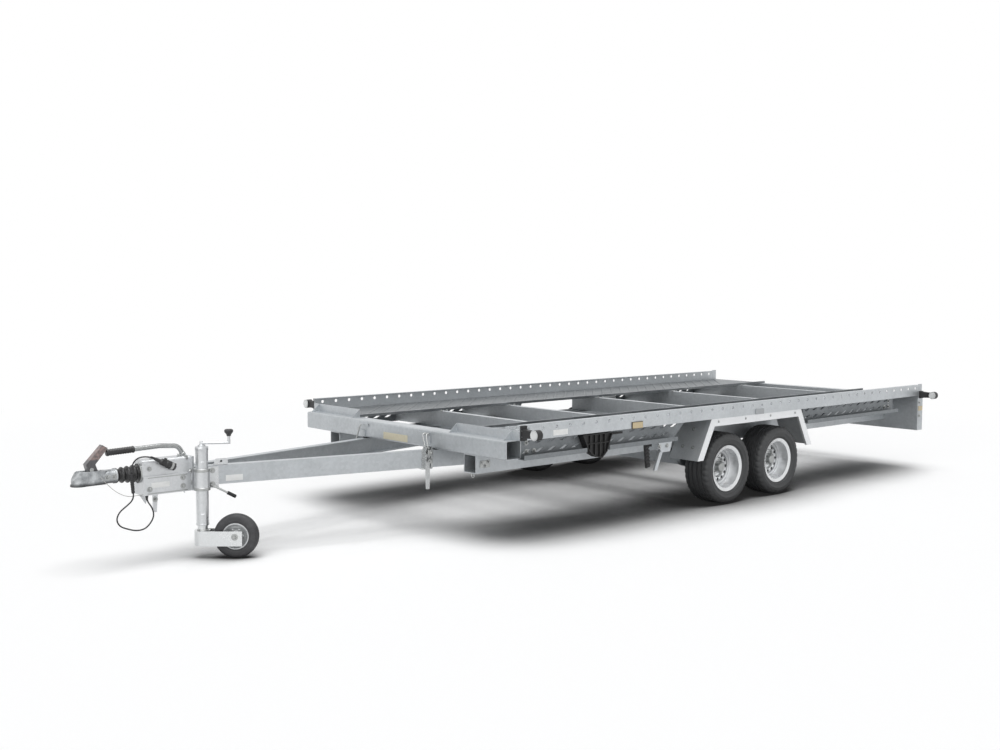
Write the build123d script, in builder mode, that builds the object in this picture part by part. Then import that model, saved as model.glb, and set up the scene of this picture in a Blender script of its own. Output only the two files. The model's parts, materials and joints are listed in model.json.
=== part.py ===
from build123d import *
import os
from math import cos, hypot, pi, radians, sin, sqrt, tan

# Tandem-axle car transporter trailer with a tilting bed, in millimetres.
# +X points to the coupling, +Y to the left, +Z up. The origin is the middle of the
# overall length and width, on the ground. The drawbar, its side members and the axles
# are the chassis, and the bed tilts on a pin behind the rear axle.

os.makedirs("parts", exist_ok=True)

# ---------------------------------------------------------------- driving dimensions
BED_LENGTH = 4140          # front face of the front beam to rear face of the rear beam
BED_WIDTH = 1970           # over the side rails
DRAWBAR_REACH = 1840       # front beam to the nose of the coupling
LENS_PROUD = 10            # tail lamp lens behind the rear beam

FRONT_X = (BED_LENGTH + LENS_PROUD - DRAWBAR_REACH) / 2
REAR_X = FRONT_X - BED_LENGTH
NOSE_X = FRONT_X + DRAWBAR_REACH
SIDE_Y = BED_WIDTH / 2

SHEET = 3                  # folded sheet of rails, webs, tracks and guards
BED_BASE_Z = 454           # underside of the front beam and the cross members
FRAME_H = 100              # height of the front beam and the cross members
FRAME_TOP_Z = BED_BASE_Z + FRAME_H
TRACK_TOP_Z = FRAME_TOP_Z + SHEET

# front beam: square tube, open at both ends
FRONT_BEAM_D = 100
FRONT_BEAM_INSET = 28.5    # beam's end inside the rail's face
FRONT_BEAM_LENGTH = BED_WIDTH - 2 * FRONT_BEAM_INSET
FRONT_BEAM_WALL = 4
FRONT_BEAM_R = 10
KEEPER_T = 8               # plates on its face that the bed latches hook on to
BEAM_KEEPERS = ((213, 323, 480, 539), (-394, -309, 458, 498), (-350, -277, 518, 536))

# side rails: upstand with a folded lip and a ledge under the track
RAIL_TOP_Z = 633
RAIL_LIP = 25
RAIL_SETBACK = 68          # front end of the upstand behind the front beam's face
WEB_RECESS = 45            # web of the side beam inside the upstand's face
RAIL_HOLE_R = 10
RAIL_HOLE_DROP = 24        # hole centres under the rail's top
RAIL_HOLE_PITCH = 100
FIRST_HOLE_BACK = 127.5    # first hole behind the front beam's face
RAIL_HOLE_END = 100        # least length of plain upstand behind the last hole and its post
RAIL_END_BACK = 53         # upstand's rear end behind the rear beam's front face
RAIL_END_R = 14            # hollow curve at its foot

# side beams: recessed webs with a bottom flange, ahead of and behind the wheels
SIDE_BEAM_BASE_Z = 448
SIDE_BEAM_LIP = 25
FRONT_FLANGE_BACK = 1312   # end of the front web's flange behind the front beam's face
FRONT_WEB_BACK = 1428      # end of the front web's top edge
REAR_WEB_START_BACK = 2640
REAR_WEB_AHEAD = 355       # end of the rear web ahead of the rear face
WEB_HOLE_W = 30            # leaning four-sided lightening holes, in two rows
WEB_HOLE_H = 20
WEB_HOLE_LEAN = 40
WEB_HOLE_PITCH = 90
WEB_HOLE_ROWS = (488, 536)

# wheel tracks
TRACK_W = 515              # rail's face to the track's inner edge
TRACK_INNER_Y = SIDE_Y - TRACK_W
TRACK_LIP = 15
RIB_PITCH = 100            # diagonal grip ribs pressed into the tracks
RIB_W = 30
RIB_H = 4
RIB_TAPER = 45
RIB_MARGIN = 22            # rib's end to the track's edges
STOP_H = 46                # wheel stop above the track
STOP_GUSSET = 60

# cross members: channels between the tracks and on to the side beams
CROSS_FLANGE = 40
CROSS_T = 4
CROSS_REAR_AHEAD = 345     # the last one ahead of the rear face
CROSS_BACKS = (680, 1255, 2925, BED_LENGTH - CROSS_REAR_AHEAD)
WHEEL_CROSS_BACK = 2108    # the short one between the wheels

# longitudinals: tubes of the bed, outside the chassis side members
LONG_W = 100
LONG_H = 100
LONG_WALL = 4
LONG_INSET = 282           # outer face inside the rail's face
LONG_OUT_Y = SIDE_Y - LONG_INSET
LONG_FRONT_BACK = 8

# rear beam
REAR_BEAM_D = 70
REAR_BEAM_BASE_Z = 290
POST_TOP_Z = 638           # corner posts at its ends
POST_FLANGE = 25

# chassis: channel drawbar beams and side members
CHASSIS_GAP = 6            # bed underside to chassis top
CHASSIS_H = 96
CHASSIS_FLANGE = 50
CHASSIS_T = 5
SIDE_GAP = 8               # between a side member and a longitudinal
CHASSIS_TOP_Z = BED_BASE_Z - CHASSIS_GAP
CHASSIS_BASE_Z = CHASSIS_TOP_Z - CHASSIS_H
CHASSIS_OUT_Y = LONG_OUT_Y - LONG_W - SIDE_GAP
APEX_TO_NOSE = 578         # drawbar beams' front ends behind the coupling's nose
APEX_Y = 57                # half width over the beams there
JOIN_BACK = 1065           # where the drawbar meets the side members
APEX_X = NOSE_X - APEX_TO_NOSE
JOIN_X = FRONT_X - JOIN_BACK

# wheels and axles
TYRE_R = 224.5
TYRE_W = 195
TYRE_INSET = 30            # tyre's outer face inside the rail's face
FRONT_AXLE_BACK = 1845
AXLE_SPACING = 527
AXLE_TUBE = 70
AXLE_TUBE_Z = 275
ARM_REACH = 150            # axle tube's centre ahead of the wheel's centre
ARM_INSET = 167.5          # trailing arm's inner face inside the tyre's middle
FRONT_AXLE_X = FRONT_X - FRONT_AXLE_BACK
REAR_AXLE_X = FRONT_AXLE_X - AXLE_SPACING
WHEEL_Y = SIDE_Y - TYRE_INSET - TYRE_W / 2
WHEEL_Z = TYRE_R
AXLE_HALF = WHEEL_Y - ARM_INSET

# bed pivot
PIVOT_BACK = 455           # behind the rear axle
PIVOT_R = 15
PIVOT_FIT = 0.08
PIVOT_BOSS_R = 24
PIVOT_X = REAR_AXLE_X - PIVOT_BACK
PIVOT_Z = (CHASSIS_TOP_Z + CHASSIS_BASE_Z) / 2

SEAT = 0.3                 # clearance of pieces that rest on another body
SIDES = ((1, "left"), (-1, "right"))
AXLES = ((FRONT_AXLE_X, "front"), (REAR_AXLE_X, "rear"))


def save(builder, name):
    """Label a finished piece and write it."""
    builder.part.label = name
    export_step(builder.part, f"parts/{name}.step")


def save_pair(left, name):
    """Write a left-hand piece and its mirror image."""
    save(left, f"{name}_left")
    with BuildPart() as right:
        mirror(left.part, about=Plane.XZ)
    save(right, f"{name}_right")


def section_x(x):
    """Sketch plane across the trailer at x: sketch X runs along +Y, sketch Y up."""
    return Plane(origin=(x, 0, 0), x_dir=(0, 1, 0), z_dir=(1, 0, 0))


def side_y(y):
    """Sketch plane along the trailer at y: sketch X runs along +X, sketch Y up."""
    return Plane(origin=(0, y, 0), x_dir=(1, 0, 0), z_dir=(0, -1, 0))


def span(low, high):
    """Centre of a stretch."""
    return (low + high) / 2


# ---------------------------------------------------------------- front beam
with BuildPart() as front_beam:
    with BuildSketch(side_y(FRONT_BEAM_LENGTH / 2)):
        with Locations((FRONT_X - FRONT_BEAM_D / 2, BED_BASE_Z + FRAME_H / 2)):
            RectangleRounded(FRONT_BEAM_D, FRAME_H, FRONT_BEAM_R)
            RectangleRounded(FRONT_BEAM_D - 2 * FRONT_BEAM_WALL, FRAME_H - 2 * FRONT_BEAM_WALL,
                             FRONT_BEAM_R - FRONT_BEAM_WALL, mode=Mode.SUBTRACT)
    extrude(amount=FRONT_BEAM_LENGTH)
    for keeper_in_y, keeper_out_y, keeper_base_z, keeper_top_z in BEAM_KEEPERS:
        with BuildSketch(section_x(FRONT_X)):
            with Locations((span(keeper_in_y, keeper_out_y), span(keeper_base_z, keeper_top_z))):
                Rectangle(abs(keeper_out_y - keeper_in_y), keeper_top_z - keeper_base_z)
        extrude(amount=KEEPER_T)
save(front_beam, "front_beam")

# ---------------------------------------------------------------- side rails
RAIL_FRONT_X = FRONT_X - RAIL_SETBACK
RAIL_REAR_X = REAR_X + REAR_BEAM_D
RAIL_BASE_Z = FRAME_TOP_Z - SHEET
WEB_Y = SIDE_Y - WEB_RECESS
LEDGE_FRONT_X = FRONT_X - FRONT_BEAM_D

with BuildPart() as side_rail:
    with BuildSketch(section_x(RAIL_REAR_X)):
        with Locations((SIDE_Y - SHEET / 2, span(RAIL_BASE_Z, RAIL_TOP_Z))):
            Rectangle(SHEET, RAIL_TOP_Z - RAIL_BASE_Z)
        with Locations((SIDE_Y - RAIL_LIP / 2, RAIL_TOP_Z - SHEET / 2)):
            Rectangle(RAIL_LIP, SHEET)
    extrude(amount=RAIL_FRONT_X - RAIL_REAR_X)
    with BuildSketch(section_x(RAIL_REAR_X)):
        with Locations((SIDE_Y - WEB_RECESS / 2, RAIL_BASE_Z + SHEET / 2)):
            Rectangle(WEB_RECESS, SHEET)
    extrude(amount=LEDGE_FRONT_X - RAIL_REAR_X)
    with BuildSketch(side_y(SIDE_Y)):
        hole_count = int((BED_LENGTH - FIRST_HOLE_BACK - RAIL_HOLE_END) / RAIL_HOLE_PITCH) + 1
        for step in range(hole_count):
            with Locations((FRONT_X - FIRST_HOLE_BACK - step * RAIL_HOLE_PITCH, RAIL_TOP_Z - RAIL_HOLE_DROP)):
                Circle(RAIL_HOLE_R)
    extrude(amount=SHEET, mode=Mode.SUBTRACT)
save_pair(side_rail, "side_rail")

# ---------------------------------------------------------------- side beams
FRONT_WEB_X = FRONT_X - FRONT_WEB_BACK
FRONT_FLANGE_X = FRONT_X - FRONT_FLANGE_BACK
REAR_WEB_X = REAR_X + REAR_WEB_AHEAD
WEB_HOLE_MARGIN = 20
web_spans = (
    (FRONT_WEB_X, FRONT_FLANGE_X, LEDGE_FRONT_X),
    (REAR_WEB_X, REAR_WEB_X, FRONT_X - REAR_WEB_START_BACK),
)


def leaning_hole(front_x, low_z):
    """Outline of a four-sided hole whose top lies behind its foot."""
    Polyline((front_x, low_z), (front_x - WEB_HOLE_W, low_z),
             (front_x - WEB_HOLE_W - WEB_HOLE_LEAN, low_z + WEB_HOLE_H),
             (front_x - WEB_HOLE_LEAN, low_z + WEB_HOLE_H), close=True)


with BuildPart() as side_beam:
    for web_x, flange_x, front_x in web_spans:
        with BuildSketch(side_y(WEB_Y)):
            with BuildLine():
                Polyline((web_x, RAIL_BASE_Z), (front_x, RAIL_BASE_Z), (front_x, SIDE_BEAM_BASE_Z),
                         (flange_x, SIDE_BEAM_BASE_Z), close=True)
            make_face()
            for row_z in WEB_HOLE_ROWS:
                slope = (flange_x - web_x) / (RAIL_BASE_Z - SIDE_BEAM_BASE_Z)
                row_end = flange_x - slope * (row_z + WEB_HOLE_H / 2 - SIDE_BEAM_BASE_Z)
                room = front_x - row_end - WEB_HOLE_LEAN - WEB_HOLE_W - 2 * WEB_HOLE_MARGIN
                for step in range(int(room / WEB_HOLE_PITCH) + 1):
                    hole_x = front_x - WEB_HOLE_MARGIN - step * WEB_HOLE_PITCH
                    with BuildLine():
                        leaning_hole(hole_x, row_z - WEB_HOLE_H / 2)
                    make_face(mode=Mode.SUBTRACT)
        extrude(amount=SHEET)
        with BuildSketch(section_x(flange_x)):
            with Locations((span(WEB_Y, SIDE_Y), SIDE_BEAM_BASE_Z + SHEET / 2)):
                Rectangle(WEB_RECESS, SHEET)
            with Locations((SIDE_Y - SHEET / 2, SIDE_BEAM_BASE_Z + SIDE_BEAM_LIP / 2)):
                Rectangle(SHEET, SIDE_BEAM_LIP)
        extrude(amount=front_x - flange_x)
with BuildPart() as side_beam_right:
    mirror(side_beam.part, about=Plane.XZ)
save(side_beam_right, "side_beam_right")

# the left beam's flange is cut away for the wheel chock that hangs in its recess
CHOCK_BACK = 525           # chock's front end behind the front beam's face
CHOCK_L = 240
CHOCK_TOP_Z = 545
CHOCK_INSET = 2            # its outer face inside the rail's
CHOCK_X = FRONT_X - CHOCK_BACK
CHOCK_OUTLINE = (          # behind the chock's front end, and up from the ground
    (0, CHOCK_TOP_Z), (16, 518), (38, 472), (70, 436), (109, 415), (155, 407), (194, 440), (227, 523),
    (CHOCK_L, CHOCK_TOP_Z),
)
CHOCK_W = WEB_RECESS - CHOCK_INSET
NOTCH_FRONT_BACK = 34      # the notch, behind the chock's front end
NOTCH_REAR_BACK = 210
with BuildPart() as side_beam_left:
    add(side_beam.part)
    with Locations((CHOCK_X - span(NOTCH_FRONT_BACK, NOTCH_REAR_BACK), WEB_Y + WEB_RECESS / 2,
                    SIDE_BEAM_BASE_Z + SIDE_BEAM_LIP / 2)):
        Box(NOTCH_REAR_BACK - NOTCH_FRONT_BACK, WEB_RECESS, 2 * SIDE_BEAM_LIP, mode=Mode.SUBTRACT)
save(side_beam_left, "side_beam_left")

STRAP_L = 100
STRAP_W = 12
STRAP_T = 5
STRAP_GRIP = 5             # its end inside the chock
with BuildPart() as wheel_chock:
    with BuildSketch(side_y(WEB_Y + SEAT + CHOCK_W)):
        with BuildLine():
            Polyline(*[(CHOCK_X - back, z) for back, z in CHOCK_OUTLINE], close=True)
        make_face()
    extrude(amount=CHOCK_W)
    strap_x = CHOCK_X - CHOCK_L - STRAP_L / 2 + STRAP_GRIP
    with Locations((strap_x, WEB_Y + SEAT + CHOCK_W / 2, CHOCK_TOP_Z - STRAP_W)):
        Box(STRAP_L, STRAP_T, STRAP_W)
save(wheel_chock, "wheel_chock")

# ---------------------------------------------------------------- wheel tracks
TRACK_OUT_Y = SIDE_Y - SHEET
with BuildPart() as track:
    with BuildSketch(section_x(REAR_X)):
        with Locations((span(TRACK_INNER_Y, TRACK_OUT_Y), FRAME_TOP_Z + SHEET / 2)):
            Rectangle(TRACK_OUT_Y - TRACK_INNER_Y, SHEET)
        with Locations((TRACK_INNER_Y + SHEET / 2, FRAME_TOP_Z + (SHEET + TRACK_LIP) / 2)):
            Rectangle(SHEET, SHEET + TRACK_LIP)
    extrude(amount=RAIL_FRONT_X - REAR_X)
    rib_reach = TRACK_OUT_Y - TRACK_INNER_Y - 2 * RIB_MARGIN
    rib_room = RAIL_FRONT_X - REAR_X - rib_reach - RIB_W - 2 * RIB_MARGIN
    with BuildSketch(Plane.XY.offset(TRACK_TOP_Z)):
        for step in range(int(rib_room / RIB_PITCH) + 1):
            rib_x = RAIL_FRONT_X - RIB_MARGIN - RIB_W - step * RIB_PITCH
            rib_y = TRACK_INNER_Y + RIB_MARGIN
            with BuildLine():
                Polyline((rib_x, rib_y), (rib_x + RIB_W, rib_y),
                         (rib_x + RIB_W - rib_reach, rib_y + rib_reach),
                         (rib_x - rib_reach, rib_y + rib_reach), close=True)
            make_face()
    extrude(amount=RIB_H, taper=RIB_TAPER)
save_pair(track, "track")

# ---------------------------------------------------------------- wheel stops
STOP_TOP_Z = TRACK_TOP_Z + STOP_H
with BuildPart() as wheel_stop:
    with BuildSketch(section_x(RAIL_FRONT_X)):
        with Locations((span(TRACK_INNER_Y, TRACK_OUT_Y), span(FRAME_TOP_Z, STOP_TOP_Z))):
            Rectangle(TRACK_OUT_Y - TRACK_INNER_Y, STOP_TOP_Z - FRAME_TOP_Z)
    extrude(amount=SHEET)
    for gusset_y in (TRACK_INNER_Y, TRACK_OUT_Y - STOP_GUSSET):
        with BuildSketch(side_y(gusset_y + SHEET)):
            with BuildLine():
                Polyline((RAIL_FRONT_X + SHEET, FRAME_TOP_Z), (RAIL_FRONT_X + STOP_GUSSET, FRAME_TOP_Z),
                         (RAIL_FRONT_X + SHEET, STOP_TOP_Z), close=True)
            make_face()
        extrude(amount=SHEET)
save_pair(wheel_stop, "wheel_stop")

# ---------------------------------------------------------------- cross members
with BuildPart() as cross_members:
    for back in CROSS_BACKS:
        member_x = FRONT_X - back
        with BuildSketch(side_y(WEB_Y - SHEET)):
            with Locations((member_x, BED_BASE_Z + FRAME_H / 2)):
                Rectangle(CROSS_FLANGE, FRAME_H)
            with Locations((member_x - CROSS_T, BED_BASE_Z + FRAME_H / 2)):
                Rectangle(CROSS_FLANGE, FRAME_H - 2 * CROSS_T, mode=Mode.SUBTRACT)
        extrude(amount=2 * (WEB_Y - SHEET))
    with BuildSketch(side_y(LONG_OUT_Y)):
        with Locations((FRONT_X - WHEEL_CROSS_BACK, BED_BASE_Z + FRAME_H / 2)):
            Rectangle(CROSS_FLANGE, FRAME_H)
        with Locations((FRONT_X - WHEEL_CROSS_BACK - CROSS_T, BED_BASE_Z + FRAME_H / 2)):
            Rectangle(CROSS_FLANGE, FRAME_H - 2 * CROSS_T, mode=Mode.SUBTRACT)
    extrude(amount=2 * LONG_OUT_Y)
save(cross_members, "cross_members")

# ---------------------------------------------------------------- longitudinals
LONG_FRONT_X = FRONT_X - LONG_FRONT_BACK
LONG_REAR_X = REAR_X + REAR_BEAM_D
LONG_Z = BED_BASE_Z - LONG_H / 2
LONG_Y = LONG_OUT_Y - LONG_W / 2
with BuildPart() as longitudinal:
    with BuildSketch(section_x(LONG_REAR_X)):
        with Locations((LONG_Y, LONG_Z)):
            Rectangle(LONG_W, LONG_H)
            Rectangle(LONG_W - 2 * LONG_WALL, LONG_H - 2 * LONG_WALL, mode=Mode.SUBTRACT)
    extrude(amount=LONG_FRONT_X - LONG_REAR_X)
    with BuildSketch(side_y(LONG_OUT_Y)):
        with Locations((PIVOT_X, PIVOT_Z)):
            Circle(PIVOT_BOSS_R)
    extrude(amount=LONG_W)
    with BuildSketch(side_y(LONG_OUT_Y)):
        with Locations((PIVOT_X, PIVOT_Z)):
            Circle(PIVOT_R + PIVOT_FIT)
    extrude(amount=LONG_W, mode=Mode.SUBTRACT)
save_pair(longitudinal, "longitudinal")

# ---------------------------------------------------------------- rear beam
REAR_TOP_Z = FRAME_TOP_Z
REAR_FRONT_X = REAR_X + REAR_BEAM_D
POST_END_X = REAR_FRONT_X - RAIL_END_BACK
with BuildPart() as rear_beam:
    with BuildSketch(side_y(SIDE_Y)):
        with Locations((REAR_X + REAR_BEAM_D / 2, span(REAR_BEAM_BASE_Z, REAR_TOP_Z))):
            Rectangle(REAR_BEAM_D, REAR_TOP_Z - REAR_BEAM_BASE_Z)
            Rectangle(REAR_BEAM_D - 2 * SHEET, REAR_TOP_Z - REAR_BEAM_BASE_Z - 2 * SHEET,
                      mode=Mode.SUBTRACT)
    extrude(amount=BED_WIDTH)
    for side in (1, -1):
        with BuildSketch(side_y(side * SIDE_Y)):
            with BuildLine():
                FilletPolyline((REAR_X, REAR_TOP_Z), (POST_END_X, REAR_TOP_Z), (POST_END_X, POST_TOP_Z),
                               radius=[RAIL_END_R])
                Polyline((POST_END_X, POST_TOP_Z), (REAR_FRONT_X, POST_TOP_Z),
                         (REAR_FRONT_X, REAR_BEAM_BASE_Z),
                         (REAR_X, REAR_BEAM_BASE_Z), (REAR_X, REAR_TOP_Z))
            make_face()
        extrude(amount=side * SHEET)
        with BuildSketch(section_x(REAR_FRONT_X)):
            with Locations((side * (SIDE_Y - POST_FLANGE / 2), span(REAR_BEAM_BASE_Z, RAIL_BASE_Z))):
                Rectangle(POST_FLANGE, RAIL_BASE_Z - REAR_BEAM_BASE_Z)
        extrude(amount=SHEET)
save(rear_beam, "rear_beam")

# ---------------------------------------------------------------- tail lamps
LAMP_W = 230
LAMP_H = 100
LAMP_R = 12
LAMP_IN_Y = 120            # lamp's middle inside the rail's face
with BuildPart() as tail_lamps:
    for side in (1, -1):
        with BuildSketch(section_x(REAR_X - LENS_PROUD)):
            with Locations((side * (SIDE_Y - LAMP_IN_Y), span(REAR_BEAM_BASE_Z, REAR_TOP_Z))):
                RectangleRounded(LAMP_W, LAMP_H, LAMP_R)
        extrude(amount=LENS_PROUD)
save(tail_lamps, "tail_lamps")

# ---------------------------------------------------------------- mudguards
GUARD_TOP_Z = RAIL_BASE_Z
GUARD_BASE_Z = 303
GUARD_HALF_TOP = 467
GUARD_HALF_BASE = 596
GUARD_INSET = 14           # outer face inside the rail's face
GUARD_W = 226
GUARD_OUT_Y = SIDE_Y - GUARD_INSET
GUARD_IN_Y = GUARD_OUT_Y - GUARD_W
GUARD_BAND = 48
GUARD_X = span(FRONT_AXLE_X, REAR_AXLE_X)


def guard_outline(inset):
    """Closed side outline of the mudguard arch, its outer edge moved in by inset."""
    slope = (GUARD_HALF_BASE - GUARD_HALF_TOP) / (GUARD_TOP_Z - GUARD_BASE_Z)
    shift = inset * sqrt(1 + slope * slope)
    half_top = GUARD_HALF_TOP - shift + inset * slope
    half_base = GUARD_HALF_BASE - shift
    Polyline((GUARD_X - half_base, GUARD_BASE_Z), (GUARD_X - half_top, GUARD_TOP_Z - inset),
             (GUARD_X + half_top, GUARD_TOP_Z - inset), (GUARD_X + half_base, GUARD_BASE_Z), close=True)


with BuildPart() as mudguard:
    for width, inset in ((GUARD_OUT_Y - GUARD_IN_Y, SHEET), (SHEET, GUARD_BAND)):
        with BuildSketch(side_y(GUARD_OUT_Y)):
            with BuildLine():
                guard_outline(0)
            make_face()
            with BuildLine():
                guard_outline(inset)
            make_face(mode=Mode.SUBTRACT)
        extrude(amount=width)
save_pair(mudguard, "mudguard")

# ---------------------------------------------------------------- marker lamps
MARKER_FOOT_L = 40         # rubber foot on the rail's face
MARKER_FOOT_T = 12
MARKER_FRONT_Z = 590
MARKER_REAR_Z = 558
STALK_L = 36
STALK_ROOT_H = 46
STALK_END_L = 26
STALK_END_H = 34
MARKER_HEAD_R = 27
MARKER_HEAD_T = 36
MARKER_OUT = 105           # head's centre outside the rail's face
MARKER_LENS_R = 22
MARKER_LENS_T = 5
FOOT_MARGIN = 2
marker_seats = (
    (RAIL_FRONT_X - MARKER_FOOT_L / 2, MARKER_FRONT_Z, RAIL_BASE_Z + FOOT_MARGIN, RAIL_TOP_Z - FOOT_MARGIN),
    (REAR_X + REAR_BEAM_D / 2, MARKER_REAR_Z, MARKER_REAR_Z - MARKER_HEAD_R, MARKER_REAR_Z + MARKER_HEAD_R),
)
with BuildPart() as marker_lamps:
    for side in (1, -1):
        for marker_x, marker_z, foot_base, foot_top in marker_seats:
            with BuildSketch(side_y(side * SIDE_Y)):
                with Locations((marker_x, span(foot_base, foot_top))):
                    Rectangle(MARKER_FOOT_L, foot_top - foot_base)
            extrude(amount=-side * MARKER_FOOT_T)
            stalk_root = Plane(origin=(marker_x, side * (SIDE_Y + MARKER_FOOT_T), marker_z), x_dir=(1, 0, 0),
                               z_dir=(0, side, 0))
            with BuildSketch(stalk_root):
                Rectangle(STALK_L, STALK_ROOT_H)
            with BuildSketch(stalk_root.offset(MARKER_OUT - MARKER_FOOT_T)):
                Rectangle(STALK_END_L, STALK_END_H)
            loft()
            head_back = Plane(origin=(marker_x - MARKER_HEAD_T / 2, side * (SIDE_Y + MARKER_OUT), marker_z),
                              x_dir=(0, 1, 0), z_dir=(1, 0, 0))
            with BuildSketch(head_back):
                Circle(MARKER_HEAD_R)
            extrude(amount=MARKER_HEAD_T)
save(marker_lamps, "marker_lamps")

with BuildPart() as marker_lenses:
    for side in (1, -1):
        for marker_x, marker_z, foot_base, foot_top in marker_seats:
            for facing in (1, -1):
                lens_seat = (marker_x + facing * MARKER_HEAD_T / 2, side * (SIDE_Y + MARKER_OUT), marker_z)
                with BuildSketch(Plane(origin=lens_seat, z_dir=(facing, 0, 0))):
                    Circle(MARKER_LENS_R)
                extrude(amount=MARKER_LENS_T)
save(marker_lenses, "marker_lenses")

# ---------------------------------------------------------------- side reflectors
REFLECTOR_BACK = (956, 2100)   # middles behind the front beam's face, on the rails
REFLECTOR_L = 84
REFLECTOR_H = 34
REFLECTOR_T = 6
REFLECTOR_Z = 568
POST_REFLECTOR_L = 50
POST_REFLECTOR_Z = 455
with BuildPart() as side_reflectors:
    for side in (1, -1):
        with BuildSketch(side_y(side * SIDE_Y)):
            for back in REFLECTOR_BACK:
                with Locations((FRONT_X - back, REFLECTOR_Z)):
                    Rectangle(REFLECTOR_L, REFLECTOR_H)
            with Locations((REAR_X + REAR_BEAM_D / 2, POST_REFLECTOR_Z)):
                Rectangle(POST_REFLECTOR_L, REFLECTOR_H)
        extrude(amount=-side * REFLECTOR_T)
save(side_reflectors, "side_reflectors")

# ---------------------------------------------------------------- drawbar beams
V_SLOPE = (CHASSIS_OUT_Y - APEX_Y) / (APEX_X - JOIN_X)
V_LENGTH = hypot(APEX_X - JOIN_X, CHASSIS_OUT_Y - APEX_Y)
V_OVERRUN = 40
CHASSIS_Z = span(CHASSIS_BASE_Z, CHASSIS_TOP_Z)


def channel(out_x):
    """Channel section open towards -X of the sketch, its web's outer face at out_x."""
    with Locations((out_x - CHASSIS_FLANGE / 2, 0)):
        Rectangle(CHASSIS_FLANGE, CHASSIS_H)
    with Locations((out_x - CHASSIS_T - CHASSIS_FLANGE / 2, 0)):
        Rectangle(CHASSIS_FLANGE, CHASSIS_H - 2 * CHASSIS_T, mode=Mode.SUBTRACT)


v_forward = Vector(1, -V_SLOPE, 0).normalized()
v_outward = Vector(V_SLOPE, 1, 0).normalized()
v_start = Vector(JOIN_X, CHASSIS_OUT_Y, CHASSIS_Z) - v_forward * V_OVERRUN
with BuildPart() as drawbar:
    with BuildSketch(Plane(origin=v_start, x_dir=v_outward, z_dir=v_forward)):
        channel(0)
    extrude(amount=V_LENGTH + 2 * V_OVERRUN)
    with Locations((span(JOIN_X, APEX_X), CHASSIS_OUT_Y / 2, CHASSIS_Z)):
        Box(APEX_X - JOIN_X, 2 * CHASSIS_OUT_Y, 2 * CHASSIS_H, mode=Mode.INTERSECT)
save_pair(drawbar, "drawbar")

# ---------------------------------------------------------------- chassis side members
with BuildPart() as chassis_side:
    with BuildSketch(Plane(origin=(PIVOT_X - CHASSIS_H / 2, 0, CHASSIS_Z), x_dir=(0, 1, 0), z_dir=(1, 0, 0))):
        channel(CHASSIS_OUT_Y)
    extrude(amount=JOIN_X - PIVOT_X + CHASSIS_H / 2)
    with BuildSketch(side_y(CHASSIS_OUT_Y)):
        with Locations((PIVOT_X, PIVOT_Z)):
            Circle(CHASSIS_H / 2)
        with Locations((span(PIVOT_X, JOIN_X), PIVOT_Z)):
            Rectangle(JOIN_X - PIVOT_X, CHASSIS_H)
    extrude(amount=CHASSIS_FLANGE, mode=Mode.INTERSECT)
    with BuildSketch(side_y(LONG_OUT_Y + SHEET)):
        with Locations((PIVOT_X, PIVOT_Z)):
            Circle(PIVOT_R)
    extrude(amount=LONG_OUT_Y + SHEET - CHASSIS_OUT_Y + CHASSIS_FLANGE)
save_pair(chassis_side, "chassis_side")

# ---------------------------------------------------------------- chassis cross tubes
CROSS_TUBE = 60
PIVOT_TUBE_AHEAD = 120
with BuildPart() as chassis_cross:
    for tube_x in (PIVOT_X + PIVOT_TUBE_AHEAD, JOIN_X - CROSS_TUBE):
        with BuildSketch(side_y(CHASSIS_OUT_Y - CHASSIS_T)):
            with Locations((tube_x, CHASSIS_Z)):
                Rectangle(CROSS_TUBE, CROSS_TUBE)
                Rectangle(CROSS_TUBE - 2 * LONG_WALL, CROSS_TUBE - 2 * LONG_WALL, mode=Mode.SUBTRACT)
        extrude(amount=2 * (CHASSIS_OUT_Y - CHASSIS_T))
save(chassis_cross, "chassis_cross")

# ---------------------------------------------------------------- axles
ARM_T = 28
ARM_TUBE_R = 44
ARM_STUB_R = 32
BACKPLATE_R = 105
BACKPLATE_INSET = 112.5    # inside the tyre's middle
BACKPLATE_T = 5
STUB_R = 17
STUB_INSET = 22.5
BACKPLATE_Y = WHEEL_Y - BACKPLATE_INSET
STUB_END_Y = WHEEL_Y - STUB_INSET
SADDLE_L = 120
SADDLE_W = CHASSIS_FLANGE
for axle_x, place in AXLES:
    tube_x = axle_x + ARM_REACH
    with BuildPart() as axle:
        with BuildSketch(side_y(AXLE_HALF)):
            with Locations((tube_x, AXLE_TUBE_Z)):
                Rectangle(AXLE_TUBE, AXLE_TUBE)
        extrude(amount=2 * AXLE_HALF)
        for side in (1, -1):
            arm_plane = side_y(side * AXLE_HALF)
            with BuildSketch(arm_plane):
                with BuildLine():
                    CenterArc((tube_x, AXLE_TUBE_Z), ARM_TUBE_R, 0, 360)
                    CenterArc((axle_x, WHEEL_Z), ARM_STUB_R, 0, 360)
                make_hull()
            extrude(amount=-side * ARM_T)
            with BuildSketch(side_y(side * AXLE_HALF)):
                with Locations((axle_x, WHEEL_Z)):
                    Circle(STUB_R)
            extrude(amount=-side * (STUB_END_Y - AXLE_HALF))
            with BuildSketch(side_y(side * BACKPLATE_Y)):
                with Locations((axle_x, WHEEL_Z)):
                    Circle(BACKPLATE_R)
            extrude(amount=-side * BACKPLATE_T)
            saddle_h = CHASSIS_BASE_Z - AXLE_TUBE_Z - AXLE_TUBE / 2
            with Locations((tube_x, side * (CHASSIS_OUT_Y - SADDLE_W / 2), CHASSIS_BASE_Z - saddle_h / 2)):
                Box(SADDLE_L, SADDLE_W, saddle_h)
    save(axle, f"axle_{place}")

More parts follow.
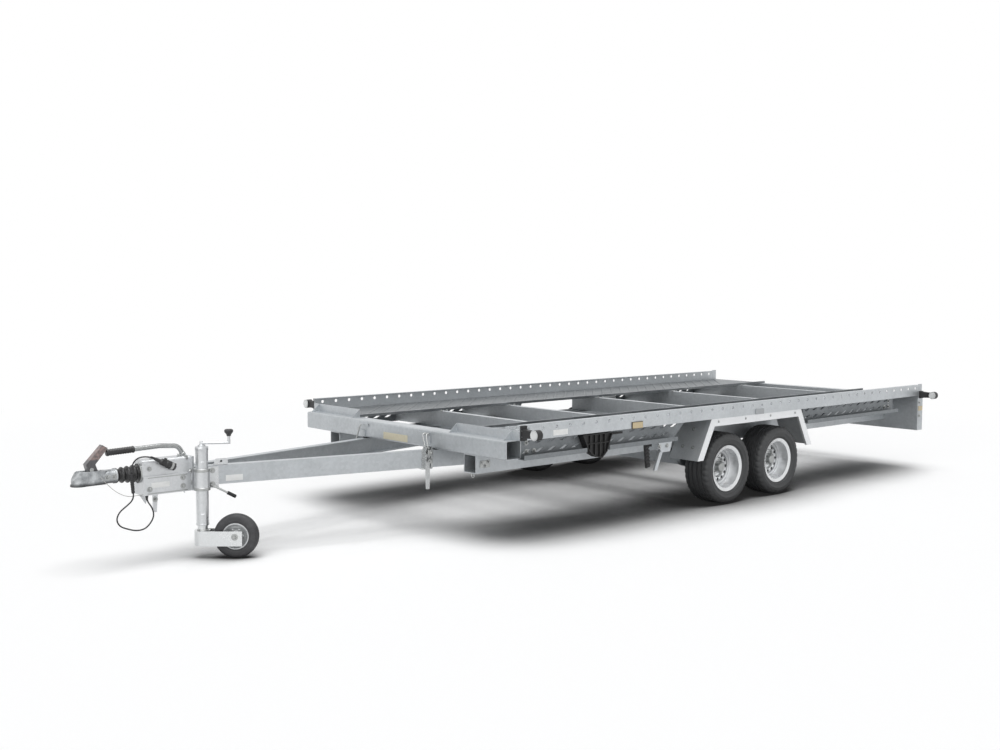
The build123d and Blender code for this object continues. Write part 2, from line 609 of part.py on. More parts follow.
# ---------------------------------------------------------------- wheels
BEAD_R = 128
FLANGE_R = 144
RIM_HALF = 80
RIM_T = 4
RIM_LIP = 9                # flange's outer edge outside the barrel, and its inner edge
LIP_BACK = 7
BEAD_FIT = 1
DISC_OUT = -8              # wheel disc's outer face from the tyre's middle
DISC_T = 7
DISC_STEP_R = 56           # the disc rises from here to the ring of vents
DISC_RING_R = 65
DISC_RISE = 12
VENT_COUNT = 12
VENT_R = 10
VENT_SIDES = 8
VENT_CIRCLE_R = 77
HUB_R = 30
HUB_REACH = 45             # hub's cap beyond the drum's face
HUB_BORE_FIT = 0.08
DRUM_R = 100
DRUM_GAP = 6
RIM_BORE_R = 34

BEAD_HALF = RIM_HALF - RIM_LIP - 0.2
WALL_FOOT_HALF = 76        # half width where the wall leaves the rim's flange
SHOULDER_DROP = 34         # widest point under the tread
SHOULDER_IN = 22           # tread's edge inside the widest point
TYRE_SECTION = (           # radius and distance outboard of the tyre's middle
    (BEAD_R, BEAD_HALF), (FLANGE_R + 1, WALL_FOOT_HALF), (TYRE_R - SHOULDER_DROP, TYRE_W / 2),
    (TYRE_R, TYRE_W / 2 - SHOULDER_IN),
)


def at_wheel(axle_x, side):
    """Plane through a wheel's middle: Z along its axle, pointing outward, X upward."""
    return Plane(origin=(axle_x, side * WHEEL_Y, WHEEL_Z), x_dir=(0, 0, 1), z_dir=(0, side, 0))


for axle_x, place in AXLES:
    for side, hand in SIDES:
        wheel = at_wheel(axle_x, side)
        radial = Plane(origin=wheel.origin, x_dir=wheel.x_dir, z_dir=-wheel.y_dir)
        spin = Axis(wheel.origin, wheel.z_dir)
        with BuildPart() as tyre:
            with BuildSketch(radial):
                with BuildLine():
                    inboard = [(radius, -offset) for radius, offset in reversed(TYRE_SECTION)]
                    Polyline(*TYRE_SECTION, *inboard, close=True)
                make_face()
            revolve(axis=spin)
        save(tyre, f"tyre_{place}_{hand}")
        with BuildPart() as rim:
            barrel_r = BEAD_R - BEAD_FIT
            with BuildSketch(radial):
                with BuildLine():
                    Polyline((barrel_r - RIM_T, RIM_HALF - LIP_BACK), (FLANGE_R, RIM_HALF),
                             (barrel_r, RIM_HALF - RIM_LIP), (barrel_r, RIM_LIP - RIM_HALF),
                             (FLANGE_R, -RIM_HALF), (barrel_r - RIM_T, LIP_BACK - RIM_HALF), close=True)
                make_face()
                with BuildLine():
                    ring_out = DISC_OUT + DISC_RISE
                    Polyline((RIM_BORE_R, DISC_OUT), (DISC_STEP_R, DISC_OUT), (DISC_RING_R, ring_out),
                             (BEAD_R - RIM_T, ring_out), (BEAD_R - RIM_T, ring_out - DISC_T),
                             (DISC_RING_R, ring_out - DISC_T), (DISC_STEP_R, DISC_OUT - DISC_T),
                             (RIM_BORE_R, DISC_OUT - DISC_T), close=True)
                make_face()
            revolve(axis=spin)
            with BuildSketch(wheel.offset(DISC_OUT - 2 * DISC_T)):
                with PolarLocations(VENT_CIRCLE_R, VENT_COUNT):
                    RegularPolygon(VENT_R, VENT_SIDES)
            extrude(amount=DISC_RISE + 4 * DISC_T, mode=Mode.SUBTRACT)
        save(rim, f"rim_{place}_{hand}")
        with BuildPart() as hub:
            drum_face = DISC_OUT - DISC_T
            drum_back = BACKPLATE_Y + BACKPLATE_T + DRUM_GAP - WHEEL_Y
            with BuildSketch(wheel.offset(drum_back)):
                Circle(DRUM_R)
                Circle(STUB_R + HUB_BORE_FIT, mode=Mode.SUBTRACT)
            extrude(amount=drum_face - drum_back)
            with BuildSketch(wheel.offset(drum_face)):
                Circle(HUB_R)
            extrude(amount=HUB_REACH)
        save(hub, f"hub_{place}_{hand}")

# ---------------------------------------------------------------- overrun coupling
HOUSING_LENGTH = 245
HOUSING_W = 110
HOUSING_BASE_Z = 332
HOUSING_WAIST_Z = 424
HUMP_W = 92
HUMP_TOP_Z = 502
HUMP_R = 16
FLANGE_T = 10
FLANGE_MARGIN = 5
DRAW_Z = 437
DRAW_R = 25
HOUSING_X = APEX_X + FLANGE_T
HOUSING_FRONT_X = HOUSING_X + HOUSING_LENGTH
LINK_BACK = 95             # brake link below the housing, behind its front face
LINK_L = 26
LINK_T = 8
LINK_DROP = 95
GUSSET_L = 48
TOOTH_AHEAD = 12
with BuildPart() as overrun_housing:
    with Locations((APEX_X + FLANGE_T / 2, 0, span(HOUSING_BASE_Z, HUMP_TOP_Z))):
        Box(FLANGE_T, 2 * (APEX_Y + FLANGE_MARGIN), HUMP_TOP_Z - HOUSING_BASE_Z)
    with BuildSketch(section_x(HOUSING_X)):
        with Locations((0, span(HOUSING_BASE_Z, HOUSING_WAIST_Z))):
            Rectangle(HOUSING_W, HOUSING_WAIST_Z - HOUSING_BASE_Z)
        with BuildLine():
            hump_foot = (HUMP_W / 2, HOUSING_WAIST_Z)
            hump_end = (-HUMP_W / 2, HOUSING_WAIST_Z)
            FilletPolyline(hump_foot, (HUMP_W / 2 - FLANGE_MARGIN, HUMP_TOP_Z),
                           (-HUMP_W / 2 + FLANGE_MARGIN, HUMP_TOP_Z), hump_end, radius=[HUMP_R, HUMP_R])
            Line(hump_end, hump_foot)
        make_face()
    extrude(amount=HOUSING_LENGTH)
    with BuildSketch(side_y(LINK_T / 2)):
        with BuildLine():
            link_x = HOUSING_FRONT_X - LINK_BACK
            Polyline((link_x, HOUSING_BASE_Z), (link_x + LINK_L, HOUSING_BASE_Z),
                     (link_x + LINK_L, HOUSING_BASE_Z - LINK_DROP),
                     (link_x + LINK_L / 3, HOUSING_BASE_Z - LINK_DROP), close=True)
        make_face()
        with BuildLine():
            Polyline((HOUSING_FRONT_X, HOUSING_BASE_Z), (HOUSING_FRONT_X - GUSSET_L, HOUSING_BASE_Z),
                     (HOUSING_FRONT_X - GUSSET_L * 2 / 3, HOUSING_BASE_Z - GUSSET_L), close=True)
        make_face()
        with BuildLine():
            Polyline((HOUSING_X + TOOTH_AHEAD, HOUSING_BASE_Z), (HOUSING_X + 2 * TOOTH_AHEAD, HOUSING_BASE_Z),
                     (HOUSING_X + TOOTH_AHEAD, HOUSING_BASE_Z - 1.5 * TOOTH_AHEAD), close=True)
        make_face()
    extrude(amount=LINK_T)
save(overrun_housing, "overrun_housing")

HEAD_L = 210
HEAD_BACK_X = NOSE_X - HEAD_L
NECK_L = 70
NECK_R = 33
BALL_R = 25
CUP_LIP_R = 40
CUP_LIP_H = 9
CUP_WALL = 11
BALL_X = NOSE_X - CUP_LIP_R
BALL_Z = 420
CUP_BASE_Z = BALL_Z - 15
CUP_TOP_Z = 468
TUBE_SEAT = 40             # draw tube inside the coupling's neck
with BuildPart() as draw_tube:
    with BuildSketch(section_x(HOUSING_FRONT_X)):
        with Locations((0, DRAW_Z)):
            Circle(DRAW_R)
    extrude(amount=HEAD_BACK_X + TUBE_SEAT - HOUSING_FRONT_X)
save(draw_tube, "draw_tube")

BELLOWS_FOLDS = 4
BELLOWS_BACK_R = 46
BELLOWS_FRONT_R = 37
BELLOWS_DEPTH = 9
BELLOWS_LENGTH = HEAD_BACK_X - HOUSING_FRONT_X
with BuildPart() as bellows:
    with BuildSketch(Plane(origin=(HOUSING_FRONT_X, 0, DRAW_Z), x_dir=(1, 0, 0), z_dir=(0, -1, 0))):
        with BuildLine():
            crests = [(0, DRAW_R + SEAT)]
            for step in range(2 * BELLOWS_FOLDS + 1):
                part_way = step / (2 * BELLOWS_FOLDS)
                radius = BELLOWS_BACK_R + (BELLOWS_FRONT_R - BELLOWS_BACK_R) * part_way
                crests.append((part_way * BELLOWS_LENGTH, radius - BELLOWS_DEPTH * (step % 2)))
            crests.append((BELLOWS_LENGTH, DRAW_R + SEAT))
            Polyline(*crests, close=True)
        make_face()
    revolve(axis=Axis((HOUSING_FRONT_X, 0, DRAW_Z), (1, 0, 0)))
save(bellows, "bellows")

CUP_R = BALL_R + CUP_WALL
NOSE_R = 24
NOSE_RAKE = 2
NOSE_H = 22                # upright nose, up to its slope
SLOPE_AHEAD = 6            # slope's top ahead of the ball
HEAD_STEP = 3              # head's sides inside its neck
SOCKET_MOUTH = 40
with BuildPart() as coupling_head:
    with BuildSketch(Plane.XY.offset(CUP_BASE_Z)):
        with BuildLine():
            CenterArc((BALL_X, 0), CUP_R, 0, 360)
            CenterArc((HEAD_BACK_X + NECK_L, 0), NECK_R - HEAD_STEP, 0, 360)
        make_hull()
    extrude(amount=CUP_TOP_Z - CUP_BASE_Z)
    with BuildSketch(side_y(CUP_LIP_R)):
        with BuildLine():
            FilletPolyline((NOSE_X, CUP_BASE_Z), (NOSE_X - NOSE_RAKE, CUP_BASE_Z + NOSE_H),
                           (BALL_X + SLOPE_AHEAD, CUP_TOP_Z), (HEAD_BACK_X, CUP_TOP_Z),
                           radius=[NOSE_R / 3, NOSE_R])
            Polyline((HEAD_BACK_X, CUP_TOP_Z), (HEAD_BACK_X, CUP_BASE_Z), (NOSE_X, CUP_BASE_Z))
        make_face()
    extrude(amount=2 * CUP_LIP_R, mode=Mode.INTERSECT)
    with BuildSketch(section_x(HEAD_BACK_X)):
        with Locations((0, DRAW_Z)):
            Circle(NECK_R)
    extrude(amount=NECK_L)
    with BuildSketch(Plane.XY.offset(CUP_BASE_Z)):
        with Locations((BALL_X, 0)):
            Circle(CUP_LIP_R)
    extrude(amount=CUP_LIP_H)
    with BuildSketch(section_x(HEAD_BACK_X)):
        with Locations((0, DRAW_Z)):
            Circle(DRAW_R)
    extrude(amount=TUBE_SEAT, mode=Mode.SUBTRACT)
    with Locations((BALL_X, 0, BALL_Z)):
        Sphere(BALL_R + SEAT, mode=Mode.SUBTRACT)
        Cylinder(BALL_R + SEAT, SOCKET_MOUTH, align=(Align.CENTER, Align.CENTER, Align.MAX),
                 mode=Mode.SUBTRACT)
save(coupling_head, "coupling_head")

# lever over the head that opens the cup: a pressed channel, open towards the rear
OPENER_W = 36
OPENER_T = 5
OPENER_FOOT_BACK = 92      # its foot behind the nose
# ahead of the foot, and up from the top of the head
OPENER_OUTLINE = ((-30, 0), (16, 0), (26, 36), (-54, 122), (-78, 106), (-18, 34))
OPENER_HOLLOW = ((-40, 0), (10, 0), (18, 32), (-76, 114), (-114, 82))
with BuildPart() as coupling_handle:
    for width, outline, mode in ((OPENER_W, OPENER_OUTLINE, Mode.ADD),
                                 (OPENER_W - 2 * OPENER_T, OPENER_HOLLOW, Mode.SUBTRACT)):
        with BuildSketch(side_y(width / 2)):
            with BuildLine():
                Polyline(*[(NOSE_X - OPENER_FOOT_BACK + ahead, CUP_TOP_Z + up) for ahead, up in outline],
                         close=True)
            make_face()
        extrude(amount=width, mode=mode)
save(coupling_handle, "coupling_handle")

# ---------------------------------------------------------------- handbrake lever
LEVER_R = 12
LEVER_BEND_R = 42
LEVER_FOOT_AHEAD = 14
LEVER_BEND_Z = 552
LEVER_TOP_Z = 560
LEVER_END_Z = 550
GRIP_R = 17
GRIP_L = 130
GRIP_END_T = 6
GRIP_BORE_FIT = 0.1
LEVER_END_AHEAD = 150      # lever's end ahead of the housing's front face
LEVER_END_X = HOUSING_FRONT_X + LEVER_END_AHEAD
with BuildPart() as handbrake:
    with BuildLine() as lever_path:
        FilletPolyline((HOUSING_X + LEVER_FOOT_AHEAD, 0, HUMP_TOP_Z),
                       (HOUSING_X + 3 * LEVER_FOOT_AHEAD, 0, LEVER_BEND_Z),
                       (LEVER_END_X - 2 * GRIP_L, 0, LEVER_TOP_Z), (LEVER_END_X, 0, LEVER_END_Z),
                       radius=[LEVER_BEND_R, 2 * LEVER_BEND_R])
    with BuildSketch(Plane(origin=lever_path.line @ 0, z_dir=lever_path.line % 0)):
        Circle(LEVER_R)
    sweep(path=lever_path.line)
    with Locations((HOUSING_X + LEVER_FOOT_AHEAD, 0, HUMP_TOP_Z - LEVER_R)):
        Box(4 * LEVER_R, 4 * LEVER_R, 2 * LEVER_R, mode=Mode.SUBTRACT)
save(handbrake, "handbrake")

lever_way = lever_path.line % 1
grip_back = Vector(LEVER_END_X, 0, LEVER_END_Z) - lever_way * GRIP_L
with BuildPart() as handbrake_grip:
    with BuildSketch(Plane(origin=grip_back, z_dir=lever_way)):
        Circle(GRIP_R)
        Circle(LEVER_R + GRIP_BORE_FIT, mode=Mode.SUBTRACT)
    extrude(amount=GRIP_L)
    with BuildSketch(Plane(origin=grip_back + lever_way * (GRIP_L + GRIP_BORE_FIT), z_dir=lever_way)):
        Circle(GRIP_R)
    extrude(amount=GRIP_END_T)
save(handbrake_grip, "handbrake_grip")

# ---------------------------------------------------------------- jockey wheel
JOCKEY_BACK = 20           # tube's axis behind the drawbar's apex
CLAMP_AHEAD = JOCKEY_BACK - 2  # the plate ends behind the overrun housing's flange
JOCKEY_TUBE_R = 30
JOCKEY_PLATE = 6
CLAMP_R = 38
CLAMP_BASE_Z = 336
CLAMP_H = 108
CLAMP_PLATE_L = 118
JOCKEY_X = APEX_X - JOCKEY_BACK
JOCKEY_Y = APEX_Y + V_SLOPE * JOCKEY_BACK + CLAMP_R + JOCKEY_PLATE
JOCKEY_TOP_Z = 552
JOCKEY_BASE_Z = 163
JOCKEY_FIT = 0.3
with BuildPart() as jockey_clamp:
    with BuildSketch(Plane.XY.offset(CLAMP_BASE_Z)):
        with Locations((JOCKEY_X, JOCKEY_Y)):
            Circle(CLAMP_R)
    extrude(amount=CLAMP_H)
    clamp_seat = Plane(origin=(JOCKEY_X, APEX_Y + V_SLOPE * JOCKEY_BACK, CLAMP_BASE_Z + CLAMP_H / 2),
                       x_dir=v_forward, z_dir=v_outward)
    with BuildSketch(clamp_seat):
        with Locations((CLAMP_AHEAD - CLAMP_PLATE_L / 2, 0)):
            Rectangle(CLAMP_PLATE_L, CLAMP_H)
    extrude(amount=JOCKEY_PLATE)
    with BuildSketch(Plane.XY.offset(CLAMP_BASE_Z)):
        with Locations((JOCKEY_X, JOCKEY_Y)):
            Circle(JOCKEY_TUBE_R + JOCKEY_FIT)
    extrude(amount=CLAMP_H, mode=Mode.SUBTRACT)
save(jockey_clamp, "jockey_clamp")

# screw handle that tightens the clamp, its tip in black plastic
SCREW_R = 5
SCREW_L = 102
SCREW_TIP_R = 9
SCREW_TIP_L = 46
SCREW_WAY = (-1.5, 0.25, -0.88)  # rearward, slightly outward, and down
screw_way = Vector(*SCREW_WAY).normalized()
screw_flat = Vector(screw_way.X, screw_way.Y, 0)
screw_foot = Vector(JOCKEY_X, JOCKEY_Y, CLAMP_BASE_Z + CLAMP_H / 4) + screw_flat.normalized() * CLAMP_R
screw_start = SEAT - SCREW_R * screw_way.Z / screw_flat.length
with BuildPart() as clamp_handle:
    with BuildSketch(Plane(origin=screw_foot + screw_way * screw_start, z_dir=screw_way)):
        Circle(SCREW_R)
    extrude(amount=SCREW_L)
    with BuildSketch(Plane(origin=screw_foot + screw_way * SCREW_L, z_dir=screw_way)):
        Circle(SCREW_TIP_R)
    extrude(amount=SCREW_TIP_L)
save(clamp_handle, "clamp_handle")

INNER_R = 25
INNER_FIT = 0.1
INNER_TOP_Z = 225
INNER_ROOM = 1             # above the inner tube, in the outer one's bore
with BuildPart() as jockey_tube:
    with BuildSketch(Plane.XY.offset(JOCKEY_BASE_Z)):
        with Locations((JOCKEY_X, JOCKEY_Y)):
            Circle(JOCKEY_TUBE_R)
    extrude(amount=JOCKEY_TOP_Z - JOCKEY_BASE_Z)
    with BuildSketch(Plane.XY.offset(JOCKEY_BASE_Z)):
        with Locations((JOCKEY_X, JOCKEY_Y)):
            Circle(INNER_R + INNER_FIT)
    extrude(amount=INNER_TOP_Z + INNER_ROOM - JOCKEY_BASE_Z, mode=Mode.SUBTRACT)
save(jockey_tube, "jockey_tube")

CRANK_ARM = 130
CRANK_TURN = 148           # round the tube from the trailer's forward direction
CRANK_R = 7
CRANK_RISE = 18            # arm above the tube's top
KNOB_RISE = 50
KNOB_DEPTH = 14            # crank's end inside the knob
KNOB_FIT = 0.1
KNOB_PROFILE = ((13, 0), (22, 15), (22, 27), (17.5, 34), (0, 34))  # radius and height
crank_way = Vector(cos(radians(CRANK_TURN)), sin(radians(CRANK_TURN)), 0)
crank_foot = Vector(JOCKEY_X, JOCKEY_Y, JOCKEY_TOP_Z)
knob_foot = crank_foot + crank_way * CRANK_ARM
with BuildPart() as jockey_crank:
    with BuildLine() as crank_path:
        Polyline(crank_foot, crank_foot + Vector(0, 0, CRANK_RISE), knob_foot + Vector(0, 0, CRANK_RISE),
                 knob_foot + Vector(0, 0, KNOB_RISE + KNOB_DEPTH))
    with BuildSketch(Plane(origin=crank_foot, z_dir=(0, 0, 1))):
        Circle(CRANK_R)
    sweep(path=crank_path.line, transition=Transition.RIGHT)
    with BuildSketch(Plane(origin=crank_foot, z_dir=(0, 0, 1))):
        Circle(2 * CRANK_R)
    extrude(amount=CRANK_R)
save(jockey_crank, "jockey_crank")

with BuildPart() as crank_knob:
    with BuildSketch(Plane(origin=knob_foot + Vector(0, 0, KNOB_RISE), x_dir=(1, 0, 0), z_dir=(0, -1, 0))):
        with BuildLine():
            Polyline((CRANK_R + KNOB_FIT, 0), *KNOB_PROFILE, (0, KNOB_DEPTH + KNOB_FIT),
                     (CRANK_R + KNOB_FIT, KNOB_DEPTH + KNOB_FIT), close=True)
        make_face()
    revolve(axis=Axis(knob_foot, (0, 0, 1)))
save(crank_knob, "crank_knob")

TRAIL = 165                # wheel's axle from the tube's axis
TRAIL_TURN = 138
JOCKEY_WHEEL_R = 110
JOCKEY_WHEEL_W = 60
JOCKEY_PIN_R = 8
FORK_IN = JOCKEY_WHEEL_W / 2 + 6
FORK_T = 5
FORK_H = 74
FORK_Z = 101
FORK_TIP = 36              # arms beyond the wheel's axle
fork_way = Vector(cos(radians(TRAIL_TURN)), sin(radians(TRAIL_TURN)), 0)
fork_plane = Plane(origin=(JOCKEY_X, JOCKEY_Y, 0), x_dir=fork_way, z_dir=(0, 0, 1))
fork_base = fork_plane.offset(FORK_Z - FORK_H / 2)
with BuildPart() as jockey_fork:
    with BuildSketch(fork_base):
        Circle(FORK_IN + FORK_T)
        with Locations(((TRAIL + FORK_TIP) / 2, 0)):
            Rectangle(TRAIL + FORK_TIP, 2 * (FORK_IN + FORK_T))
        Circle(FORK_IN, mode=Mode.SUBTRACT)
        with Locations(((TRAIL + FORK_TIP) / 2, 0)):
            Rectangle(TRAIL + FORK_TIP, 2 * FORK_IN, mode=Mode.SUBTRACT)
    extrude(amount=FORK_H)
    with BuildSketch(fork_base):
        Circle(INNER_R)
    extrude(amount=INNER_TOP_Z - FORK_Z + FORK_H / 2)
    with BuildSketch(fork_plane.offset(FORK_Z + FORK_H / 2 - FORK_T)):
        Circle(FORK_IN)
    extrude(amount=FORK_T)
    pin_end = fork_plane.from_local_coords(Vector(TRAIL, FORK_IN + FORK_T, JOCKEY_WHEEL_R))
    with BuildSketch(Plane(origin=pin_end, z_dir=-fork_plane.y_dir)):
        Circle(JOCKEY_PIN_R)
    extrude(amount=2 * (FORK_IN + FORK_T))
save(jockey_fork, "jockey_fork")

JOCKEY_RIM_R = 66
JOCKEY_RIM_T = 8           # well and boss of the plastic rim
JOCKEY_BORE_R = JOCKEY_PIN_R + 0.1
JOCKEY_RIM_FIT = 0.1
JOCKEY_TYRE_SECTION = ((JOCKEY_RIM_R, 22), (80, 30), (98, 28), (JOCKEY_WHEEL_R, 14))  # radius, half width
JOCKEY_RIM_SECTION = (
    (JOCKEY_BORE_R, FORK_IN - SEAT), (JOCKEY_PIN_R + JOCKEY_RIM_T, FORK_IN - SEAT),
    (JOCKEY_PIN_R + JOCKEY_RIM_T, JOCKEY_RIM_T), (JOCKEY_RIM_R - JOCKEY_RIM_T, JOCKEY_RIM_T),
    (JOCKEY_RIM_R - JOCKEY_RIM_T, 22), (JOCKEY_RIM_R - JOCKEY_RIM_FIT, 22),
)
jockey_middle = fork_plane.from_local_coords(Vector(TRAIL, 0, JOCKEY_WHEEL_R))
for section, name in ((JOCKEY_TYRE_SECTION, "jockey_tyre"), (JOCKEY_RIM_SECTION, "jockey_rim")):
    with BuildPart() as ring:
        with BuildSketch(Plane(origin=jockey_middle, x_dir=(0, 0, 1), z_dir=fork_way)):
            with BuildLine():
                Polyline(*section, *[(radius, -half) for radius, half in reversed(section)], close=True)
            make_face()
        revolve(axis=Axis(jockey_middle, fork_plane.y_dir))
    save(ring, name)

# ---------------------------------------------------------------- pads
PAD_L = 80
PAD_W = 40
with BuildPart() as pads:
    for side in (1, -1):
        pad_x = FRONT_X - FRONT_BEAM_D / 2
        pad_y = side * (APEX_Y + V_SLOPE * (APEX_X - pad_x) - CHASSIS_FLANGE / 2)
        with Locations((pad_x, pad_y, CHASSIS_TOP_Z + (CHASSIS_GAP - SEAT) / 2)):
            Box(PAD_L, PAD_W, CHASSIS_GAP - SEAT)
save(pads, "pads")

# ---------------------------------------------------------------- bed latch
# toggle latch clamped to the outside of the left drawbar beam, under the front beam's keeper
LATCH_AHEAD = 12           # plates ahead of the front beam's face
LATCH_L = 60
LATCH_T = 8
LATCH_TOP_Z = 470
LATCH_LEVER_W = 26
LATCH_LEVER_BASE_Z = 236
latch_x = FRONT_X + LATCH_AHEAD + LATCH_L / 2
latch_y = APEX_Y + V_SLOPE * (APEX_X - latch_x)
latch_plane = Plane(origin=(latch_x, latch_y, 0), x_dir=-v_forward, z_dir=v_outward)
with BuildPart() as latch:
    with BuildSketch(latch_plane):
        with BuildLine():
            Polyline((-LATCH_L / 2, CHASSIS_BASE_Z - LATCH_T), (LATCH_L / 2, CHASSIS_BASE_Z - LATCH_T),
                     (LATCH_L / 2, CHASSIS_TOP_Z), (LATCH_L / 4, LATCH_TOP_Z), (-LATCH_L / 4, LATCH_TOP_Z),
                     (-LATCH_L / 2, CHASSIS_TOP_Z), close=True)
        make_face()
    extrude(amount=LATCH_T)
    for cheek in (-1, 1):
        with BuildSketch(latch_plane.offset(LATCH_T)):
            with Locations((cheek * (LATCH_LEVER_W + LATCH_T) / 2, span(CHASSIS_BASE_Z, LATCH_TOP_Z))):
                Rectangle(LATCH_T, LATCH_TOP_Z - CHASSIS_BASE_Z)
        extrude(amount=LATCH_LEVER_W)
    with BuildSketch(latch_plane.offset(LATCH_T)):
        with BuildLine():
            Polyline((-LATCH_LEVER_W / 2, CHASSIS_TOP_Z), (LATCH_LEVER_W / 2, CHASSIS_TOP_Z),
                     (LATCH_LEVER_W / 3, LATCH_LEVER_BASE_Z), (-LATCH_LEVER_W / 3, LATCH_LEVER_BASE_Z),
                     close=True)
        make_face()
    extrude(amount=LATCH_LEVER_W / 2)
    with BuildSketch(latch_plane.offset(-CHASSIS_FLANGE)):
        with Locations((0, CHASSIS_BASE_Z - LATCH_T / 2)):
            Rectangle(LATCH_L, LATCH_T)
    extrude(amount=CHASSIS_FLANGE)
save(latch, "latch")

# ---------------------------------------------------------------- bracket ahead of the left guard
BRACKET_BACK = 1140        # its front edge behind the front beam's face
BRACKET_T = 6
BRACKET_L = 120
# behind its front edge, and down from the side beam
BRACKET_OUTLINE = ((0, 0), (BRACKET_L, 0), (102, 56), (24, 56))
BRACE_OUTLINE = ((30, 30), (56, 30), (-2, 158), (-28, 158))
BRACE_T = 12
bracket_top_z = SIDE_BEAM_BASE_Z - SEAT
with BuildPart() as guard_bracket:
    for out_y, outline, depth in ((SIDE_Y, BRACKET_OUTLINE, BRACKET_T),
                                  (SIDE_Y - BRACKET_T, BRACE_OUTLINE, BRACE_T)):
        with BuildSketch(side_y(out_y)):
            with BuildLine():
                Polyline(*[(FRONT_X - BRACKET_BACK - back, bracket_top_z - down) for back, down in outline],
                         close=True)
            make_face()
        extrude(amount=depth)
    with BuildSketch(side_y(SIDE_Y)):
        with Locations((FRONT_X - BRACKET_BACK - BRACKET_L / 2, bracket_top_z - BRACKET_T / 2)):
            Rectangle(BRACKET_L - 2 * BRACE_T, BRACKET_T)
    extrude(amount=WEB_RECESS)
save(guard_bracket, "guard_bracket")

# ---------------------------------------------------------------- parked plug
PLUG_R = 17
PLUG_L = 84
PLUG_TAIL_R = 9
PLUG_TAIL_L = 30
PLUG_SLOPE = 28            # dips towards the rear
PLUG_BACK = 56             # its front end behind the housing's front face
PLUG_RISE = 6
plug_way = Vector(-cos(radians(PLUG_SLOPE)), 0, -sin(radians(PLUG_SLOPE)))
plug_y = HUMP_W / 2 + PLUG_R + SEAT
plug_front = Vector(HOUSING_FRONT_X - PLUG_BACK, plug_y, HUMP_TOP_Z + PLUG_RISE)
with BuildPart() as plug:
    with BuildSketch(Plane(origin=plug_front, z_dir=plug_way)):
        Circle(PLUG_TAIL_R)
    extrude(amount=PLUG_TAIL_L)
    with BuildSketch(Plane(origin=plug_front + plug_way * PLUG_TAIL_L, z_dir=plug_way)):
        Circle(PLUG_R)
    extrude(amount=PLUG_L)
save(plug, "plug")

# ---------------------------------------------------------------- cords
CABLE_R = 3.5              # trailer's lighting cable
WIRE_R = 1.5               # breakaway wire in its sleeve
ARC_SHARE = 0.45           # of the shorter run, taken by each corner's arc
PLUG_EXIT = 26             # cable straight out of the plug
# ahead of the housing's front face, out from the middle, and up from the ground
CABLE_ROUTE = (
    (20, 62, 524), (50, 61, 503), (62, 60, 462), (58, 60, 414), (52, 60, 366), (52, 58, 322),
    (84, 54, 294), (118, 52, 270), (134, 50, 234), (118, 50, 200), (80, 50, 182), (38, 50, 168),
    (-4, 49, 170), (-34, 48, 194), (-54, 47, 230), (-44, 46, 272), (-20, 44, 304),
)
WIRE_ROUTE = (
    (194, 29, 442), (193, 40, 438), (180, 45, 418), (158, 47, 392), (130, 49, 366), (98, 50, 346),
    (64, 50, 336), (32, 48, 338), (0, 48, 338),
)


def cord(points, radius):
    """Round cord along straight runs joined by arcs, with its length and radii printed."""
    radii = []
    for before, corner, after in zip(points, points[1:], points[2:]):
        first, second = corner - before, after - corner
        turn = first.get_angle(second)
        radii.append(ARC_SHARE * min(first.length, second.length) / tan(radians(turn / 2)))
    with BuildPart() as tube:
        with BuildLine() as route:
            FilletPolyline(*points, radius=radii)
        with BuildSketch(Plane(origin=points[0], z_dir=points[1] - points[0])):
            Circle(radius)
        sweep(path=route.line)
    length = sum(edge.length for edge in route.edges())
    print("cord length", round(length), "volume share",
          round(tube.part.volume / (pi * radius ** 2 * length), 3),
          "radii", [round(value) for value in radii])
    return tube


def ahead_of_housing(ahead, y, z):
    """Point given ahead of the housing's front face."""
    return Vector(HOUSING_FRONT_X + ahead, y, z)


cable_points = [plug_front, plug_front - plug_way * PLUG_EXIT]
cable_points += [ahead_of_housing(*point) for point in CABLE_ROUTE]
cable_points.append(Vector(cable_points[-1].X, cable_points[-1].Y, HOUSING_BASE_Z))
save(cord(cable_points, CABLE_R), "plug_cable")
save(cord([ahead_of_housing(*point) for point in WIRE_ROUTE], WIRE_R), "breakaway_cable")
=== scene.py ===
import json
import math
import bpy
import bmesh
from mathutils import Matrix, Quaternion, Vector

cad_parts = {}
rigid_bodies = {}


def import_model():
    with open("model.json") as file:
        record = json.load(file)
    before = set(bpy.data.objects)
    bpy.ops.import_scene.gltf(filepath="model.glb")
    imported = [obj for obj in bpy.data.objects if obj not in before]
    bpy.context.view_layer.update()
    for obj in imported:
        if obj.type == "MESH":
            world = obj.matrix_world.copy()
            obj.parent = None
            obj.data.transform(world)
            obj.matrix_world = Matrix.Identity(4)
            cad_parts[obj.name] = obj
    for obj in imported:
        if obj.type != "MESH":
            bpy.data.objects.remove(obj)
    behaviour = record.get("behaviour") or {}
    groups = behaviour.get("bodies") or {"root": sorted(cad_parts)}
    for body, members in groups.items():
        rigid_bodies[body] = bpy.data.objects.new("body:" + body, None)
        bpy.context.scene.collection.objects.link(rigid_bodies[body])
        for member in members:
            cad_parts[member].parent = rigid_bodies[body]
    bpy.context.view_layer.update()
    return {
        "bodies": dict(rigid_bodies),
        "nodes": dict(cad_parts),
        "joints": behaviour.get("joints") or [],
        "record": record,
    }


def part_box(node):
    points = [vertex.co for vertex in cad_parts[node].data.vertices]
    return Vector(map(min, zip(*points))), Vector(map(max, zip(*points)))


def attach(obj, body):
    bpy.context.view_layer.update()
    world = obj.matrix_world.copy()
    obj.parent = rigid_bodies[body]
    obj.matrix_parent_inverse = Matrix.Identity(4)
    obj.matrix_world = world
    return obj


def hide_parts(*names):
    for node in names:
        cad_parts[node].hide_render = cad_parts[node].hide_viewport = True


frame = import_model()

nodes = frame["nodes"]

